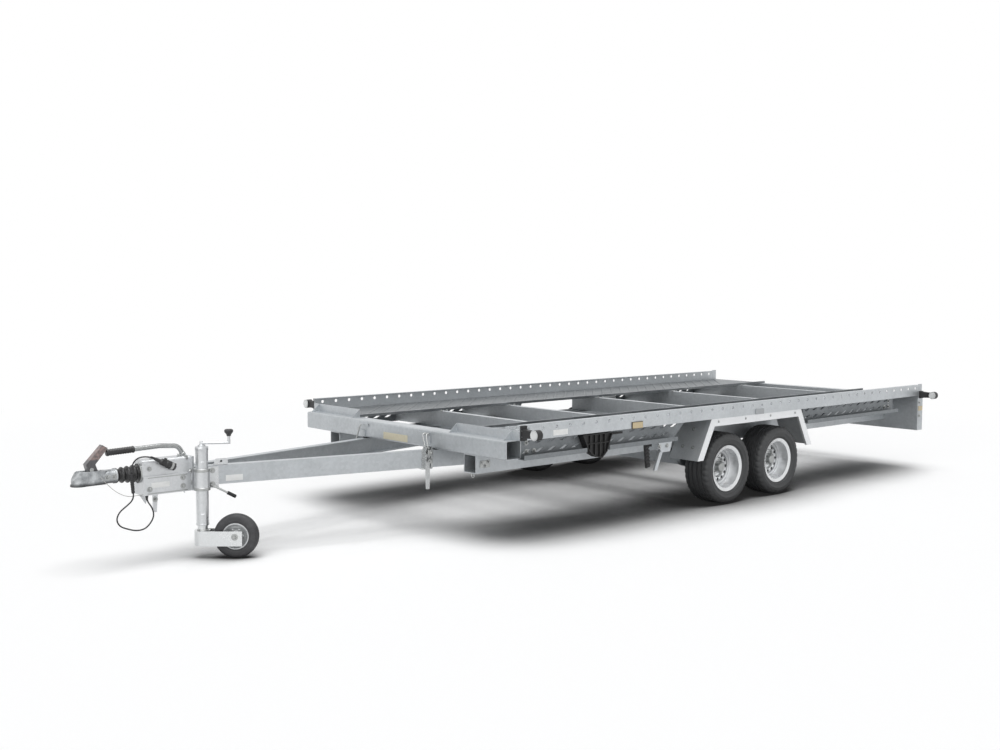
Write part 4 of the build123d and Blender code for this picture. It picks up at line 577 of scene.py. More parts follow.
# ================================================================ wheel bolts and caps
# Each wheel is held by four bolts with round seats and has a pressed cap over the hub nut
# and a rubber valve through the rim's well.
DISC_FACE_Y = WHEEL_Y - 0.008
BOLT_CIRCLE = 0.050
valve_rubber = moulded("black valve rubber", "1A1A1B", "333334", 0.5)
for name, x in WHEEL_X.items():
    for side, hand in ((1, "left"), (-1, "right")):
        bm = bmesh.new()
        out = (0.0, side, 0.0)
        for count in range(4):
            angle = math.radians(45.0 + 90.0 * count)
            at = (x + BOLT_CIRCLE * math.sin(angle), side * (DISC_FACE_Y + 0.0002), TYRE_R + BOLT_CIRCLE
                  * math.cos(angle))
            turned(bm, ((0.0, 0.0), (0.0125, 0.0), (0.0115, 0.004), (0.0098, 0.005)), at, out, 20)
            turned(bm, ((0.0098, 0.005), (0.0098, 0.016), (0.0082, 0.019), (0.0, 0.019)), at, out, 6)
        cap = ((0.0318, 0.0002), (0.0318, 0.004), (0.0302, 0.006), (0.0302, 0.034), (0.0300, 0.040),
               (0.0270, 0.0440), (0.0180, 0.0462), (0.0085, 0.0466), (0.0, 0.0466))
        turned(bm, cap, (x, side * DISC_FACE_Y, TYRE_R), out, 40)
        valve_foot = Vector((x + 0.104 * math.sin(0.6), side * (WHEEL_Y + 0.004),
                             TYRE_R - 0.104 * math.cos(0.6)))
        lean = Vector((-0.12 * math.sin(0.6), side, 0.12 * math.cos(0.6)))
        turned(bm, ((0.0, 0.0002), (0.0072, 0.0002), (0.0072, 0.003), (0.0048, 0.006), (0.0048, 0.022),
                    (0.0040, 0.024), (0.0040, 0.031), (0.0, 0.032)), valve_foot, lean, 16, material=1)
        add_piece(f"wheel_bolts_{name}_{hand}", bm, [zinc_plate, valve_rubber], f"wheel_{name}_{hand}")

# ================================================================ hubs and axles
# Brake drums of rough grey cast iron, and rubber-torsion axles: square galvanised tubes
# with trailing arms, backplates and saddles bolted up to the side members.
cast_iron, tree, place = start_material("grey cast iron with a film of rust")
cloud = put(tree, "ShaderNodeTexNoise", {"Scale": 22.0, "Detail": 8.0, "Roughness": 0.7}, {"Vector": place})
grain = put(tree, "ShaderNodeTexNoise", {"Scale": 420.0, "Detail": 3.0}, {"Vector": place})
stain = put(tree, "ShaderNodeMapRange", {"From Min": 0.52, "From Max": 0.78}, {"Value": cloud.outputs[0]})
shade = put(tree, "ShaderNodeMix", {"data_type": "RGBA", 6: linear("3C3D3F"), 7: linear("5A4C42")},
            {0: stain.outputs[0]})
rough = put(tree, "ShaderNodeMapRange", {"To Min": 0.5, "To Max": 0.8}, {"Value": cloud.outputs[0]})
bump = put(tree, "ShaderNodeBump", {"Strength": 0.5, "Distance": 0.0005}, {"Height": grain.outputs[0]})
end_material(tree, {"Metallic": 0.5},
             {"Base Color": shade.outputs[2], "Roughness": rough.outputs[0], "Normal": bump.outputs[0]})
finish([f"hub_{name}_{hand}" for name in WHEEL_X for hand in ("left", "right")], cast_iron)
axle_steel = galvanised("galvanised steel, axle tubes and arms", "9A9EA1", "7D8184", 0.5, 80.0)
finish(["axle_front", "axle_rear"], axle_steel)

CHASSIS_OUT_Y = 0.595
axle_bolts = bmesh.new()
for name, x in WHEEL_X.items():
    for side in (1, -1):
        for along in (-0.045, 0.045):
            # saddle bolts: heads under the flange
            at = (x + 0.150 + along, side * (CHASSIS_OUT_Y - 0.025), 0.3468)
            turned(axle_bolts, ((0.0, 0.0), (0.011, 0.0), (0.011, 0.008), (0.0095, 0.0095), (0.0, 0.0095)),
                   at, (0.0, 0.0, -1.0), 6)
add_piece("axle_saddle_bolts", axle_bolts, [zinc_plate], "chassis")

# ================================================================ mudguards
# Folded galvanised guards over both wheels of a side: the outer skirt painted paler than the
# sheet's other faces as painted highlight, a hem folded in, and bolts that hold the top to the rail and the
# ends to the side beam.
guard_steel, tree, place = start_material("galvanised steel, folded guard sheet")
cloud = put(tree, "ShaderNodeTexNoise", {"Scale": 5.0, "Detail": 7.0, "Roughness": 0.6}, {"Vector": place})
crystal = put(tree, "ShaderNodeTexVoronoi", {"Scale": 80.0}, {"Vector": place})
spangle = put(tree, "ShaderNodeMix", {"data_type": "RGBA", 0: 0.16},
              {6: cloud.outputs["Color"], 7: crystal.outputs["Color"]})
value = put(tree, "ShaderNodeSeparateColor", (), {0: spangle.outputs[2]})
# painted light: faces turned out sideways get a paler skirt colour as painted highlight, and the sheet's
# other faces a darker copy of the same zinc as painted shade
skirt = put(tree, "ShaderNodeMix", {"data_type": "RGBA", 6: linear("DFE1E3"), 7: linear("F3F4F5")},
            {0: value.outputs[0]})
folded = put(tree, "ShaderNodeMix", {"data_type": "RGBA", 6: linear("B9BDC0"), 7: linear("DADDDF")},
             {0: value.outputs[0]})
turned_to = put(tree, "ShaderNodeSeparateXYZ", (), {0: tree.nodes[0].outputs["Normal"]})
sideways = put(tree, "ShaderNodeMath", {"operation": "ABSOLUTE"}, {0: turned_to.outputs[1]})
painted_lit_face_mask = put(tree, "ShaderNodeMath", {"operation": "GREATER_THAN", 1: 0.7}, {0: sideways.outputs[0]})
shade = put(tree, "ShaderNodeMix", {"data_type": "RGBA"},
            {0: painted_lit_face_mask.outputs[0], 6: folded.outputs[2], 7: skirt.outputs[2]})
rough = put(tree, "ShaderNodeMapRange", {"To Min": 0.48, "To Max": 0.34}, {"Value": value.outputs[0]})
end_material(tree, {"Metallic": 0.6}, {"Base Color": shade.outputs[2], "Roughness": rough.outputs[0]})
finish(["mudguard_left", "mudguard_right"], guard_steel)
GUARD_X, GUARD_TOP, GUARD_BASE = -0.9535, 0.551, 0.303
GUARD_HALF_TOP, GUARD_HALF_BASE = 0.467, 0.596
for side, hand in ((1, "left"), (-1, "right")):
    bm = bmesh.new()
    out = (0.0, side, 0.0)
    # hem folded in along the skirt's lower edge
    slope = math.hypot(GUARD_HALF_BASE - GUARD_HALF_TOP, GUARD_TOP - GUARD_BASE) / (GUARD_TOP - GUARD_BASE)
    lean = (GUARD_HALF_BASE - GUARD_HALF_TOP) / (GUARD_TOP - GUARD_BASE)
    hem = []
    for inset in (0.0455, 0.0480):
        half_base = GUARD_HALF_BASE - inset * slope
        half_top = half_base - lean * (GUARD_TOP - inset - GUARD_BASE)
        hem.append([(-half_base, GUARD_BASE), (-half_top, GUARD_TOP - inset), (half_top, GUARD_TOP - inset),
                    (half_base, GUARD_BASE)])
    inside = seat((GUARD_X, side * (GUARD_FACE_Y - 0.0032), 0.0), (0.0, -1.0, 0.0))
    for outer, inner in zip(zip(hem[0], hem[0][1:]), zip(hem[1], hem[1][1:])):
        plate(bm, [outer[0], outer[1], inner[1], inner[0]], 0.0 if side > 0 else -0.012,
              0.012 if side > 0 else 0.0, inside, 0.0006)
    for x, z in ((-0.40, 0.530), (-0.13, 0.530), (0.13, 0.530), (0.40, 0.530)):
        turned(bm, ((0.0075, 0.0), (0.0070, 0.0022), (0.0045, 0.0036), (0.0, 0.0040)),
               (GUARD_X + x, side * (GUARD_FACE_Y + 0.0002), z), out, 16, material=1)
    # bolts through the leading and trailing faces, into the brackets inside
    for end in (1, -1):
        face_out = Vector((end * (GUARD_TOP - GUARD_BASE), 0.0,
                           GUARD_HALF_BASE - GUARD_HALF_TOP)).normalized()
        for share, inward in ((0.30, 0.070), (0.30, 0.150), (0.72, 0.110)):
            half = GUARD_HALF_BASE + (GUARD_HALF_TOP - GUARD_HALF_BASE) * share
            at = Vector((GUARD_X + end * half, side * (GUARD_FACE_Y - inward),
                         GUARD_BASE + (GUARD_TOP - GUARD_BASE) * share)) + face_out * 0.0003
            hex_bolt(bm, at, face_out, 0.011, material=1)
    add_piece(f"mudguard_hem_{hand}", bm, [bright_steel, zinc_plate], "bed")

# ================================================================ bracket ahead of the guard
# A galvanised bracket bolted under the side beam ahead of the left guard, with a ribbed
# black rubber buffer hung from the beam just ahead of it.
finish(["guard_bracket"], sheet_steel)
buffer_rubber = moulded("black buffer rubber", "19191A", "303031", 0.55)
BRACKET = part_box("guard_bracket")
BUFFER_X, BUFFER_Y, BUFFER_HIGH = BRACKET[1].x + 0.040, 0.957, 0.142
buffer_top = BRACKET[1].z - 0.0005
bm = bmesh.new()
buffer_at = seat((BUFFER_X, BUFFER_Y, buffer_top - BUFFER_HIGH / 2.0), (0.0, 1.0, 0.0), (0.12, 0.0, 1.0))
plate(bm, oblong(0.034, BUFFER_HIGH - 0.006), -0.006, 0.003, buffer_at, 0.002)
for count in range(6):
    plate(bm, oblong(0.036 - 0.001 * count, 0.012, 0.0, 0.052 - 0.021 * count), 0.002, 0.009, buffer_at,
          0.0018)
plate(bm, oblong(0.050, 0.014), 0.0, 0.004, seat((BUFFER_X - 0.018, BUFFER_Y - 0.004, buffer_top - 0.012),
                                                   (0.0, 1.0, 0.0)), 0.0012)
add_piece("bracket_buffer", bm, [buffer_rubber], "bed")
bm = bmesh.new()
for x in (BRACKET[0].x + 0.046, BRACKET[0].x + 0.112):
    hex_bolt(bm, (x, BRACKET[1].y + 0.0002, BRACKET[1].z - 0.020), (0.0, 1.0, 0.0), 0.013)
add_piece("bracket_bolts", bm, [zinc_plate], "bed")

# ================================================================ side reflectors
# Amber reflectors stuck on the rails' front ends and on the corner posts: clear amber
# plastic with small prisms moulded in its back. Over each guard is a bare zinc plate.
REFLECTOR_X, REFLECTOR_Z = 0.199, 0.568
BARE_PLATE_X, BARE_PLATE_REACH = -0.945, 0.050


def lens(name, colour, prism, roughness=0.14):
    """A moulded lens: deep colour under a gloss skin, with fine prisms."""
    material, tree, place = start_material(name)
    cells = put(tree, "ShaderNodeTexVoronoi", {"Scale": prism, "Randomness": 0.12}, {"Vector": place})
    cloud = put(tree, "ShaderNodeTexNoise", {"Scale": 30.0, "Detail": 3.0}, {"Vector": place})
    grey = put(tree, "ShaderNodeMapRange", {"From Max": 0.8, "To Min": 0.75, "To Max": 1.0},
               {"Value": cells.outputs[0]})
    film = put(tree, "ShaderNodeMapRange", {"From Min": 0.3, "From Max": 0.8, "To Max": 0.12},
               {"Value": cloud.outputs[0]})
    scaled = put(tree, "ShaderNodeVectorMath", {"operation": "SCALE", 0: linear(colour)[:3]},
                 {"Scale": grey.outputs[0]})
    shade = put(tree, "ShaderNodeMix", {"data_type": "RGBA", 7: linear("B5B2AC")},
                {0: film.outputs[0], 6: scaled.outputs[0]})
    bump = put(tree, "ShaderNodeBump", {"Strength": 0.5, "Distance": 0.0008}, {"Height": cells.outputs[0]})
    end_material(tree, {"Roughness": roughness, "Coat Weight": 0.8, "Coat Roughness": 0.06},
                 {"Base Color": shade.outputs[2], "Normal": bump.outputs[0]})
    return material


amber_lens = lens("amber reflector plastic, prismatic", "D2BE92", 330.0)
red_lens = lens("red lamp plastic, fluted", "8E1414", 240.0)
# the plates over the guards are zinc coloured, with no lens on them
tree = amber_lens.node_tree
surface = next(node for node in tree.nodes if node.type == "BSDF_PRINCIPLED")
coloured = surface.inputs["Base Color"].links[0].from_socket
along = put(tree, "ShaderNodeSeparateXYZ", (), {0: tree.nodes[0].outputs["Object"]})
off_plate = put(tree, "ShaderNodeMath", {"operation": "COMPARE", 1: BARE_PLATE_X, 2: BARE_PLATE_REACH},
                {0: along.outputs[0]})
zinc = put(tree, "ShaderNodeTexNoise", {"Scale": 30.0, "Detail": 5.0},
           {"Vector": tree.nodes[0].outputs["Object"]})
bare = put(tree, "ShaderNodeMix", {"data_type": "RGBA", 6: linear("8F9396"), 7: linear("A9ADB0")},
           {0: zinc.outputs[0]})
chosen = put(tree, "ShaderNodeMix", {"data_type": "RGBA"},
             {0: off_plate.outputs[0], 6: coloured, 7: bare.outputs[2]})
tree.links.new(chosen.outputs[2], surface.inputs["Base Color"])
finish(["side_reflectors"], amber_lens)
bm = bmesh.new()
for side in (1, -1):
    frame_at = seat((REFLECTOR_X, side * (RAIL_Y + 0.0002), REFLECTOR_Z), (0.0, side, 0.0))
    for along, up, wide, high in ((0.0, 0.0185, 0.090, 0.003), (0.0, -0.0185, 0.090, 0.003),
                                  (0.0435, 0.0, 0.003, 0.034), (-0.0435, 0.0, 0.003, 0.034)):
        plate(bm, oblong(wide, high, along, up), 0.0, 0.0045, frame_at, 0.0008)
reflector_frame = moulded("black reflector frame plastic", "202021", "3A3A3B", 0.42)
add_piece("reflector_frames", bm, [reflector_frame], "bed")

# ================================================================ marker lamps
# Marker lamps on rubber arms at the four corners: black rubber with a round head, a white
# lens to the front and a red one to the rear, each held by a ring.
finish(["marker_lamps"], moulded("black marker arm rubber", "1C1C1D", "38383A", 0.5))
material, tree, place = start_material("white and red marker lens plastic")
facing = put(tree, "ShaderNodeSeparateXYZ", (), {0: tree.nodes[0].outputs["Normal"]})
forward = put(tree, "ShaderNodeMath", {"operation": "GREATER_THAN", 1: -0.3}, {0: facing.outputs[0]})
cells = put(tree, "ShaderNodeTexVoronoi", {"Scale": 300.0, "Randomness": 0.1}, {"Vector": place})
cloud = put(tree, "ShaderNodeTexNoise", {"Scale": 45.0, "Detail": 3.0}, {"Vector": place})
red = put(tree, "ShaderNodeMix", {"data_type": "RGBA", 6: linear("6E1212"), 7: linear("9C1D1B")},
          {0: cloud.outputs[0]})
white = put(tree, "ShaderNodeMix", {"data_type": "RGBA", 6: linear("D6D8D8"), 7: linear("ECEDEC")},
            {0: cloud.outputs[0]})
shade = put(tree, "ShaderNodeMix", {"data_type": "RGBA"},
            {0: forward.outputs[0], 6: red.outputs[2], 7: white.outputs[2]})
bump = put(tree, "ShaderNodeBump", {"Strength": 0.5, "Distance": 0.0008}, {"Height": cells.outputs[0]})
end_material(tree, {"Roughness": 0.12, "Coat Weight": 0.8, "Coat Roughness": 0.05},
             {"Base Color": shade.outputs[2], "Normal": bump.outputs[0]})
finish(["marker_lenses"], material)
MARKERS = ((1.067, 0.590), (-2.950, 0.558))
pale_ring = moulded("pale grey lamp ring plastic", "C9CBCB", "AEB0B0", 0.3)
bm = bmesh.new()
for side in (1, -1):
    for x, z in MARKERS:
        middle = Vector((x, side * 1.090, z))
        for facing in (1, -1):
            turned(bm, ((0.0222, 0.0), (0.0268, 0.0), (0.0268, 0.0022), (0.0250, 0.0040), (0.0228, 0.0040),
                        (0.0222, 0.0030)), middle + Vector((facing * 0.0181, 0.0, 0.0)), (facing, 0.0, 0.0),
                   36,
                   hollow=True, material=2 if facing > 0 else 0)
        for up in (-0.016, 0.016):
            turned(bm, ((0.0055, 0.0), (0.0050, 0.0020), (0.0, 0.0026)),
                   (x + 0.0135 * (1 if x > 0 else -1), side * (RAIL_Y + 0.0122), z + up), (0.0, side, 0.0),
                   12,
                   material=1)
add_piece("marker_lamp_rings", bm, [reflector_frame, zinc_plate, pale_ring], "bed")

# ================================================================ tail lamps
# Flat multi-function lamps let into the rear beam's ends: a black base with an indicator,
# a brake lamp and a clear reversing lamp side by side under fluted lenses.
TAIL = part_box("tail_lamps")
amber_lamp = lens("amber lamp plastic, fluted", "C46A12", 240.0)
clear_lamp = lens("clear lamp plastic, fluted", "C9CCCC", 240.0)
lamp_base = moulded("black lamp base plastic", "161617", "2C2C2D", 0.4)
bm = bmesh.new()
for side in (1, -1):
    lamp = seat((TAIL[1].x - 0.0002, side * 0.865, (TAIL[0].z + TAIL[1].z) / 2.0), (-1.0, 0.0, 0.0))
    plate(bm, oblong(0.230, 0.100), 0.0, 0.0062, lamp, 0.0022, material=3)
    for middle, wide, shade_index in ((-0.078, 0.066, 0), (-0.003, 0.076, 1), (0.075, 0.068, 2)):
        plate(bm, oblong(wide, 0.088, -side * middle, 0.0), 0.0050, 0.0094, lamp, 0.0018,
              material=shade_index)
        for row in range(5):
            plate(bm, oblong(wide - 0.010, 0.0030, -side * middle, -0.033 + 0.0165 * row), 0.0090, 0.0097,
                  lamp,
                  0.0003, material=shade_index)
add_piece("tail_lamp_units", bm, [amber_lamp, red_lens, clear_lamp, lamp_base], "bed",
          stands_for=("tail_lamps",))

# ================================================================ wheel chock
# A black plastic wheel chock carried between the web and its keeper: a moulded shell with
# a rim, ribbed pockets and a rubber strap behind it.
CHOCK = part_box("wheel_chock")
CHOCK_OUTLINE = ((0.0, 0.5448), (0.016, 0.518), (0.038, 0.472), (0.070, 0.436), (0.109, 0.415),
                 (0.155, 0.4072), (0.194, 0.440), (0.227, 0.523), (0.240, 0.5448))
chock_plastic = moulded("black chock plastic", "0E0E0F", "1F1F20", 0.5)
bm = bmesh.new()
outer_face = seat((CHOCK[1].x, CHOCK[1].y, 0.0), (0.0, -1.0, 0.0))
edge = [Vector((-back, z, 0.0)) for back, z in CHOCK_OUTLINE]
plate(bm, [(p.x, p.y) for p in edge], 0.011, 0.0428, outer_face, 0.002)
for first, second in zip(edge, edge[1:] + edge[:1]):
    along = (second - first).normalized()
    inward = Vector((along.y, -along.x, 0.0)) * -0.0055
    if inward.dot(Vector((-0.12, 0.49, 0.0)) - first) < 0.0:
        inward = -inward
    strip = [first, second, second + inward - along * 0.002, first + inward + along * 0.002]
    plate(bm, [(p.x, p.y) for p in strip], 0.0, 0.013, outer_face, 0.0008)
for back, low, high in ((0.062, 0.450, 0.538), (0.100, 0.424, 0.538), (0.138, 0.414, 0.538),
                        (0.176, 0.430, 0.538)):
    plate(bm, oblong(0.005, high - low, -back, (low + high) / 2.0), 0.002, 0.013, outer_face, 0.0008)
plate(bm, oblong(0.185, 0.005, -0.120, 0.492), 0.002, 0.013, outer_face, 0.0008)
strap = seat((CHOCK[0].x, CHOCK[1].y - 0.0215, 0.533), (0.0, -1.0, 0.0))
plate(bm, oblong(0.100, 0.012, 0.050, 0.0), -0.0025, 0.0025, strap, 0.0012)
for count in range(8):
    plate(bm, oblong(0.0035, 0.0128, 0.012 + 0.010 * count, 0.0), -0.0032, 0.0032, strap, 0.0006)
add_piece("moulded_wheel_chock", bm, [chock_plastic], "bed", stands_for=("wheel_chock",))

# ================================================================ overrun housing
# The overrun brake's cast and pressed housing, galvanised, with the draw tube sliding in
# it, grease nipples on top and the brake link below.
DRAW_Z = 0.437
housing_steel = galvanised("galvanised steel, overrun housing", "DADCDE", "C2C4C6", 0.40, 120.0)
finish(["overrun_housing"], housing_steel)
draw_steel = galvanised("drawn steel tube, greased", "8C8E90", "6D6F71", 0.30, 30.0, 0.9)
finish(["draw_tube"], draw_steel)
bm = bmesh.new()
for x in (HOUSING_FRONT_X - 0.052, HOUSING_FRONT_X - 0.190):
    turned(bm, ((0.0, 0.0), (0.0055, 0.0), (0.0055, 0.005), (0.0038, 0.006)), (x, 0.024, 0.5022), (0, 0, 1),
           6)
    turned(bm, ((0.0038, 0.006), (0.0036, 0.009), (0.0024, 0.0105), (0.0032, 0.0125), (0.0, 0.0145)),
           (x, 0.024, 0.5022), (0, 0, 1), 12)
turned(bm, ((0.0482, 0.0002), (0.0482, 0.0050), (0.0468, 0.0065), (0.0466, 0.0002)),
       (HOUSING_FRONT_X, 0.0, DRAW_Z), (1.0, 0.0, 0.0), 40, hollow=True)
for side in (1, -1):
    plate(bm, oblong(0.200, 0.004), 0.0, 0.0012, seat((HOUSING_FRONT_X - 0.122, side * 0.0552, 0.4155),
                                                    (0.0, side, 0.0)), 0.0005)
    plate(bm, oblong(0.205, 0.005), 0.0, 0.0016, seat((HOUSING_FRONT_X - 0.122, side * 0.0552, 0.3390),
                                                    (0.0, side, 0.0)), 0.0006)
hex_bolt(bm, (HOUSING_FRONT_X - 0.079, 0.0042, 0.300), (0.0, 1.0, 0.0), 0.013, stub=0.004)
add_piece("housing_fittings", bm, [zinc_plate], "chassis")

# ================================================================ bellows
# A black rubber gaiter over the draw tube: round folds that taper to the coupling, with a
# clamping band at each end.
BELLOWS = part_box("bellows")
BELLOWS_LENGTH = BELLOWS[1].x - BELLOWS[0].x
bm = bmesh.new()
folds = [(0.0262, 0.0004)]
for step in range(81):
    share = step / 80.0
    crest = 0.0453 + (0.0365 - 0.0453) * share
    wave = (0.5 + 0.5 * math.cos(2.0 * math.pi * 4.0 * share)) ** 0.75
    folds.append((crest - 0.0105 * (1.0 - wave), 0.0004 + (BELLOWS_LENGTH - 0.0008) * share))
folds.append((0.0262, BELLOWS_LENGTH - 0.0004))
turned(bm, folds, (BELLOWS[0].x, 0.0, DRAW_Z), (1.0, 0.0, 0.0), 48, hollow=True)
add_piece("folded_bellows", bm, [moulded("black bellows rubber", "1B1B1C", "343435", 0.42, 500.0, coat=0.25)],
          "chassis", smooth=60.0, stands_for=("bellows",))

# ================================================================ coupling head
# The ball coupling: a cast steel head with a thick cup lip, galvanised, its colour darker
# from the lip down, cross-bolted to the draw tube, with its hand lever on top.
head_steel, tree, place = start_material("galvanised cast coupling steel")
cloud = put(tree, "ShaderNodeTexNoise", {"Scale": 26.0, "Detail": 7.0, "Roughness": 0.65}, {"Vector": place})
grain = put(tree, "ShaderNodeTexNoise", {"Scale": 380.0, "Detail": 3.0}, {"Vector": place})
height = put(tree, "ShaderNodeSeparateXYZ", (), {0: place})
# darker towards the bottom, below the top of the cup lip
lip = put(tree, "ShaderNodeMapRange", {"From Min": 0.424, "From Max": 0.410, "To Max": 0.85},
          {"Value": height.outputs[2]})
tone = put(tree, "ShaderNodeMapRange", {"From Min": 0.38, "From Max": 0.64}, {"Value": cloud.outputs[0]})
zinc = put(tree, "ShaderNodeMix", {"data_type": "RGBA", 6: linear("85888B"), 7: linear("C2C5C7")},
           {0: tone.outputs[0]})
shade = put(tree, "ShaderNodeMix", {"data_type": "RGBA", 7: linear("2C2D2E")},
            {0: lip.outputs[0], 6: zinc.outputs[2]})
rough = put(tree, "ShaderNodeMapRange", {"To Min": 0.30, "To Max": 0.55}, {"Value": cloud.outputs[0]})
bump = put(tree, "ShaderNodeBump", {"Strength": 0.6, "Distance": 0.0006}, {"Height": grain.outputs[0]})
end_material(tree, {"Metallic": 0.75},
             {"Base Color": shade.outputs[2], "Roughness": rough.outputs[0], "Normal": bump.outputs[0]})
finish(["coupling_head"], head_steel)
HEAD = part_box("coupling_head")
bm = bmesh.new()
for side in (1, -1):
    for x in (HEAD[0].x + 0.016, HEAD[0].x + 0.050):
        hex_bolt(bm, (x, side * 0.0332, DRAW_Z), (0.0, side, 0.0), 0.013, stub=0.003)
turned(bm, ((0.0332, 0.0), (0.0362, 0.0), (0.0362, 0.010), (0.0332, 0.012)),
       (HEAD[0].x + 0.0005, 0.0, DRAW_Z),
       (1.0, 0.0, 0.0), 40, hollow=True, material=1)
for side in (1, -1):
    plate(bm, [(-0.060, -0.002), (0.052, -0.002), (0.040, 0.004), (-0.048, 0.006)], -0.0025, 0.0025,
          seat((HEAD[1].x - 0.085, side * 0.0255, 0.4672), (0.0, 1.0, 0.0)), 0.0012, material=1)
for side in (1, -1):
    turned(bm, ((0.0, 0.0), (0.0095, 0.0), (0.0095, 0.004), (0.0, 0.004)),
           (HEAD[1].x - 0.091, side * 0.0182, 0.4790), (0.0, side, 0.0), 20)
add_piece("coupling_bolts", bm, [zinc_plate, head_steel], "chassis")

# ================================================================ coupling handle
# A pressed steel hand lever, painted black, its flank covered by a plain worn red patch.
material, tree, place = start_material("black paint with a worn red patch")
cloud = put(tree, "ShaderNodeTexNoise", {"Scale": 60.0, "Detail": 7.0, "Roughness": 0.7}, {"Vector": place})
fine = put(tree, "ShaderNodeTexNoise", {"Scale": 600.0, "Detail": 2.0}, {"Vector": place})
height = put(tree, "ShaderNodeSeparateXYZ", (), {0: place})
above = put(tree, "ShaderNodeMapRange", {"From Min": 0.520, "From Max": 0.528}, {"Value": height.outputs[2]})
below = put(tree, "ShaderNodeMapRange", {"From Min": 0.588, "From Max": 0.582}, {"Value": height.outputs[2]})
worn = put(tree, "ShaderNodeMapRange", {"From Min": 0.40, "From Max": 0.56, "To Min": 0.25, "To Max": 0.95},
           {"Value": cloud.outputs[0]})
band = put(tree, "ShaderNodeMath", {"operation": "MULTIPLY"}, {0: above.outputs[0], 1: below.outputs[0]})
patch = put(tree, "ShaderNodeMath", {"operation": "MULTIPLY"}, {0: band.outputs[0], 1: worn.outputs[0]})
dark = put(tree, "ShaderNodeMix", {"data_type": "RGBA", 6: linear("38383A"), 7: linear("626164")},
           {0: cloud.outputs[0]})
shade = put(tree, "ShaderNodeMix", {"data_type": "RGBA", 7: linear("94807C")},
            {0: patch.outputs[0], 6: dark.outputs[2]})
bump = put(tree, "ShaderNodeBump", {"Strength": 0.3, "Distance": 0.0003}, {"Height": fine.outputs[0]})
end_material(tree, {"Roughness": 0.38, "Coat Weight": 0.3},
             {"Base Color": shade.outputs[2], "Normal": bump.outputs[0]})
finish(["coupling_handle"], material)

# ================================================================ handbrake
# The handbrake lever: a bent zinc plated tube with a ribbed black hand grip.
lever_steel = galvanised("zinc plated lever tube", "B4B6B6", "8F9191", 0.26, 40.0, 0.9)
finish(["handbrake"], lever_steel)
LEVER_END = Vector((HOUSING_FRONT_X + 0.150, 0.0, 0.550))
lever_way = Vector((0.260, 0.0, -0.010)).normalized()
grip = [(0.0, 0.1302), (0.0122, 0.1302), (0.0122, 0.0003), (0.0150, 0.0003), (0.0168, 0.0020),
        (0.0168, 0.0080),
        (0.0152, 0.0095), (0.0148, 0.0120)]
for count in range(9):
    foot = 0.0140 + 0.0118 * count
    grip += [(0.0150, foot), (0.0162, foot + 0.0022), (0.0164, foot + 0.0052), (0.0150, foot + 0.0078)]
grip += [(0.0150, 0.1210), (0.0168, 0.1235), (0.0168, 0.1310), (0.0145, 0.1350), (0.0100, 0.1359),
         (0.0, 0.1360)]
bm = bmesh.new()
turned(bm, grip, LEVER_END - lever_way * 0.130, lever_way, 36)
add_piece("handbrake_hand_grip", bm,
          [moulded("black grip plastic", "161617", "2B2B2C", 0.36, 700.0, coat=0.2)],
          "chassis", smooth=50.0, stands_for=("handbrake_grip",))
bm = bmesh.new()
for side in (1, -1):
    hex_bolt(bm, (HOUSING_FRONT_X - 0.228, side * 0.0345, 0.492), (0.0, side, 0.0), 0.013)
turned(bm, ((0.0122, 0.0), (0.0150, 0.0), (0.0150, 0.014), (0.0122, 0.016)),
       (HOUSING_FRONT_X - 0.2290, 0.0, 0.5030), (0.49, 0.0, 0.87), 28, hollow=True)
add_piece("handbrake_pivot", bm, [zinc_plate], "chassis")

# ================================================================ parked plug
# The thirteen-way plug parked on the housing's flank: black plastic with a ribbed barrel,
# a screwed collar, a spring lid on its end and a tapered rubber sleeve round the cable.
plug_plastic = moulded("black plug plastic", "1E1E20", "39393B", 0.36, 800.0, coat=0.2)
bm = bmesh.new()
barrel = ((0.0, 0.0), (0.0062, 0.0), (0.0085, 0.004), (0.0090, 0.026), (0.0118, 0.030), (0.0142, 0.033),
          (0.0146, 0.060), (0.0164, 0.062), (0.0169, 0.066), (0.0169, 0.092), (0.0160, 0.094),
          (0.0160, 0.097),
          (0.0169, 0.099), (0.0169, 0.108), (0.0160, 0.111), (0.0128, 0.1125), (0.0120, 0.1090),
          (0.0, 0.1088))
turned(bm, barrel, plug_front, plug_way, 40)
side_way = Vector((0.0, 1.0, 0.0))
top_way = plug_way.cross(side_way).normalized()
if top_way.z < 0.0:
    top_way = -top_way
for count in range(14):
    angle = 2.0 * math.pi * count / 14
    out = side_way * math.cos(angle) + top_way * math.sin(angle)
    plate(bm, oblong(0.0028, 0.026), 0.0, 0.0021,
          seat(plug_front + plug_way * 0.0465 + out * 0.0137, out, plug_way), 0.0006)
    plate(bm, oblong(0.0034, 0.022), 0.0, 0.0012,
          seat(plug_front + plug_way * 0.079 + out * 0.0163, out, plug_way), 0.0005)
lug = plug_front + plug_way * 0.050 + top_way * 0.0140
turned(bm, ((0.0, 0.0), (0.0070, 0.0), (0.0070, 0.008), (0.0058, 0.0105), (0.0, 0.0110)), lug, top_way, 20)
plate(bm, oblong(0.012, 0.052), 0.0, 0.0030,
      seat(plug_front + plug_way * 0.086 + top_way * 0.0166, top_way, plug_way), 0.0010)
plug_body = add_piece("parked_plug_body", bm, [plug_plastic], "chassis",
                      stands_for=("plug",))


def sleeve(name, foot, way, length, wide, narrow, rings):
    """A tapered rubber strain relief with shallow rings, open for the cable."""
    bm = bmesh.new()
    outline = [(CABLE_DIAMETER / 2.0 + 0.0001, 0.0002)]
    for ring in range(rings):
        for share, dip in ((0.05, 0.0), (0.55, 0.0), (0.65, 0.0009), (0.95, 0.0009)):
            reach = (ring + share) / rings
            outline.append((wide + (narrow - wide) * reach - dip, 0.0002 + length * reach))
    outline.append((CABLE_DIAMETER / 2.0 + 0.0001, length))
    turned(bm, outline, foot, way, 28, hollow=True)
    return add_piece(name, bm, [cable_jacket], "chassis")


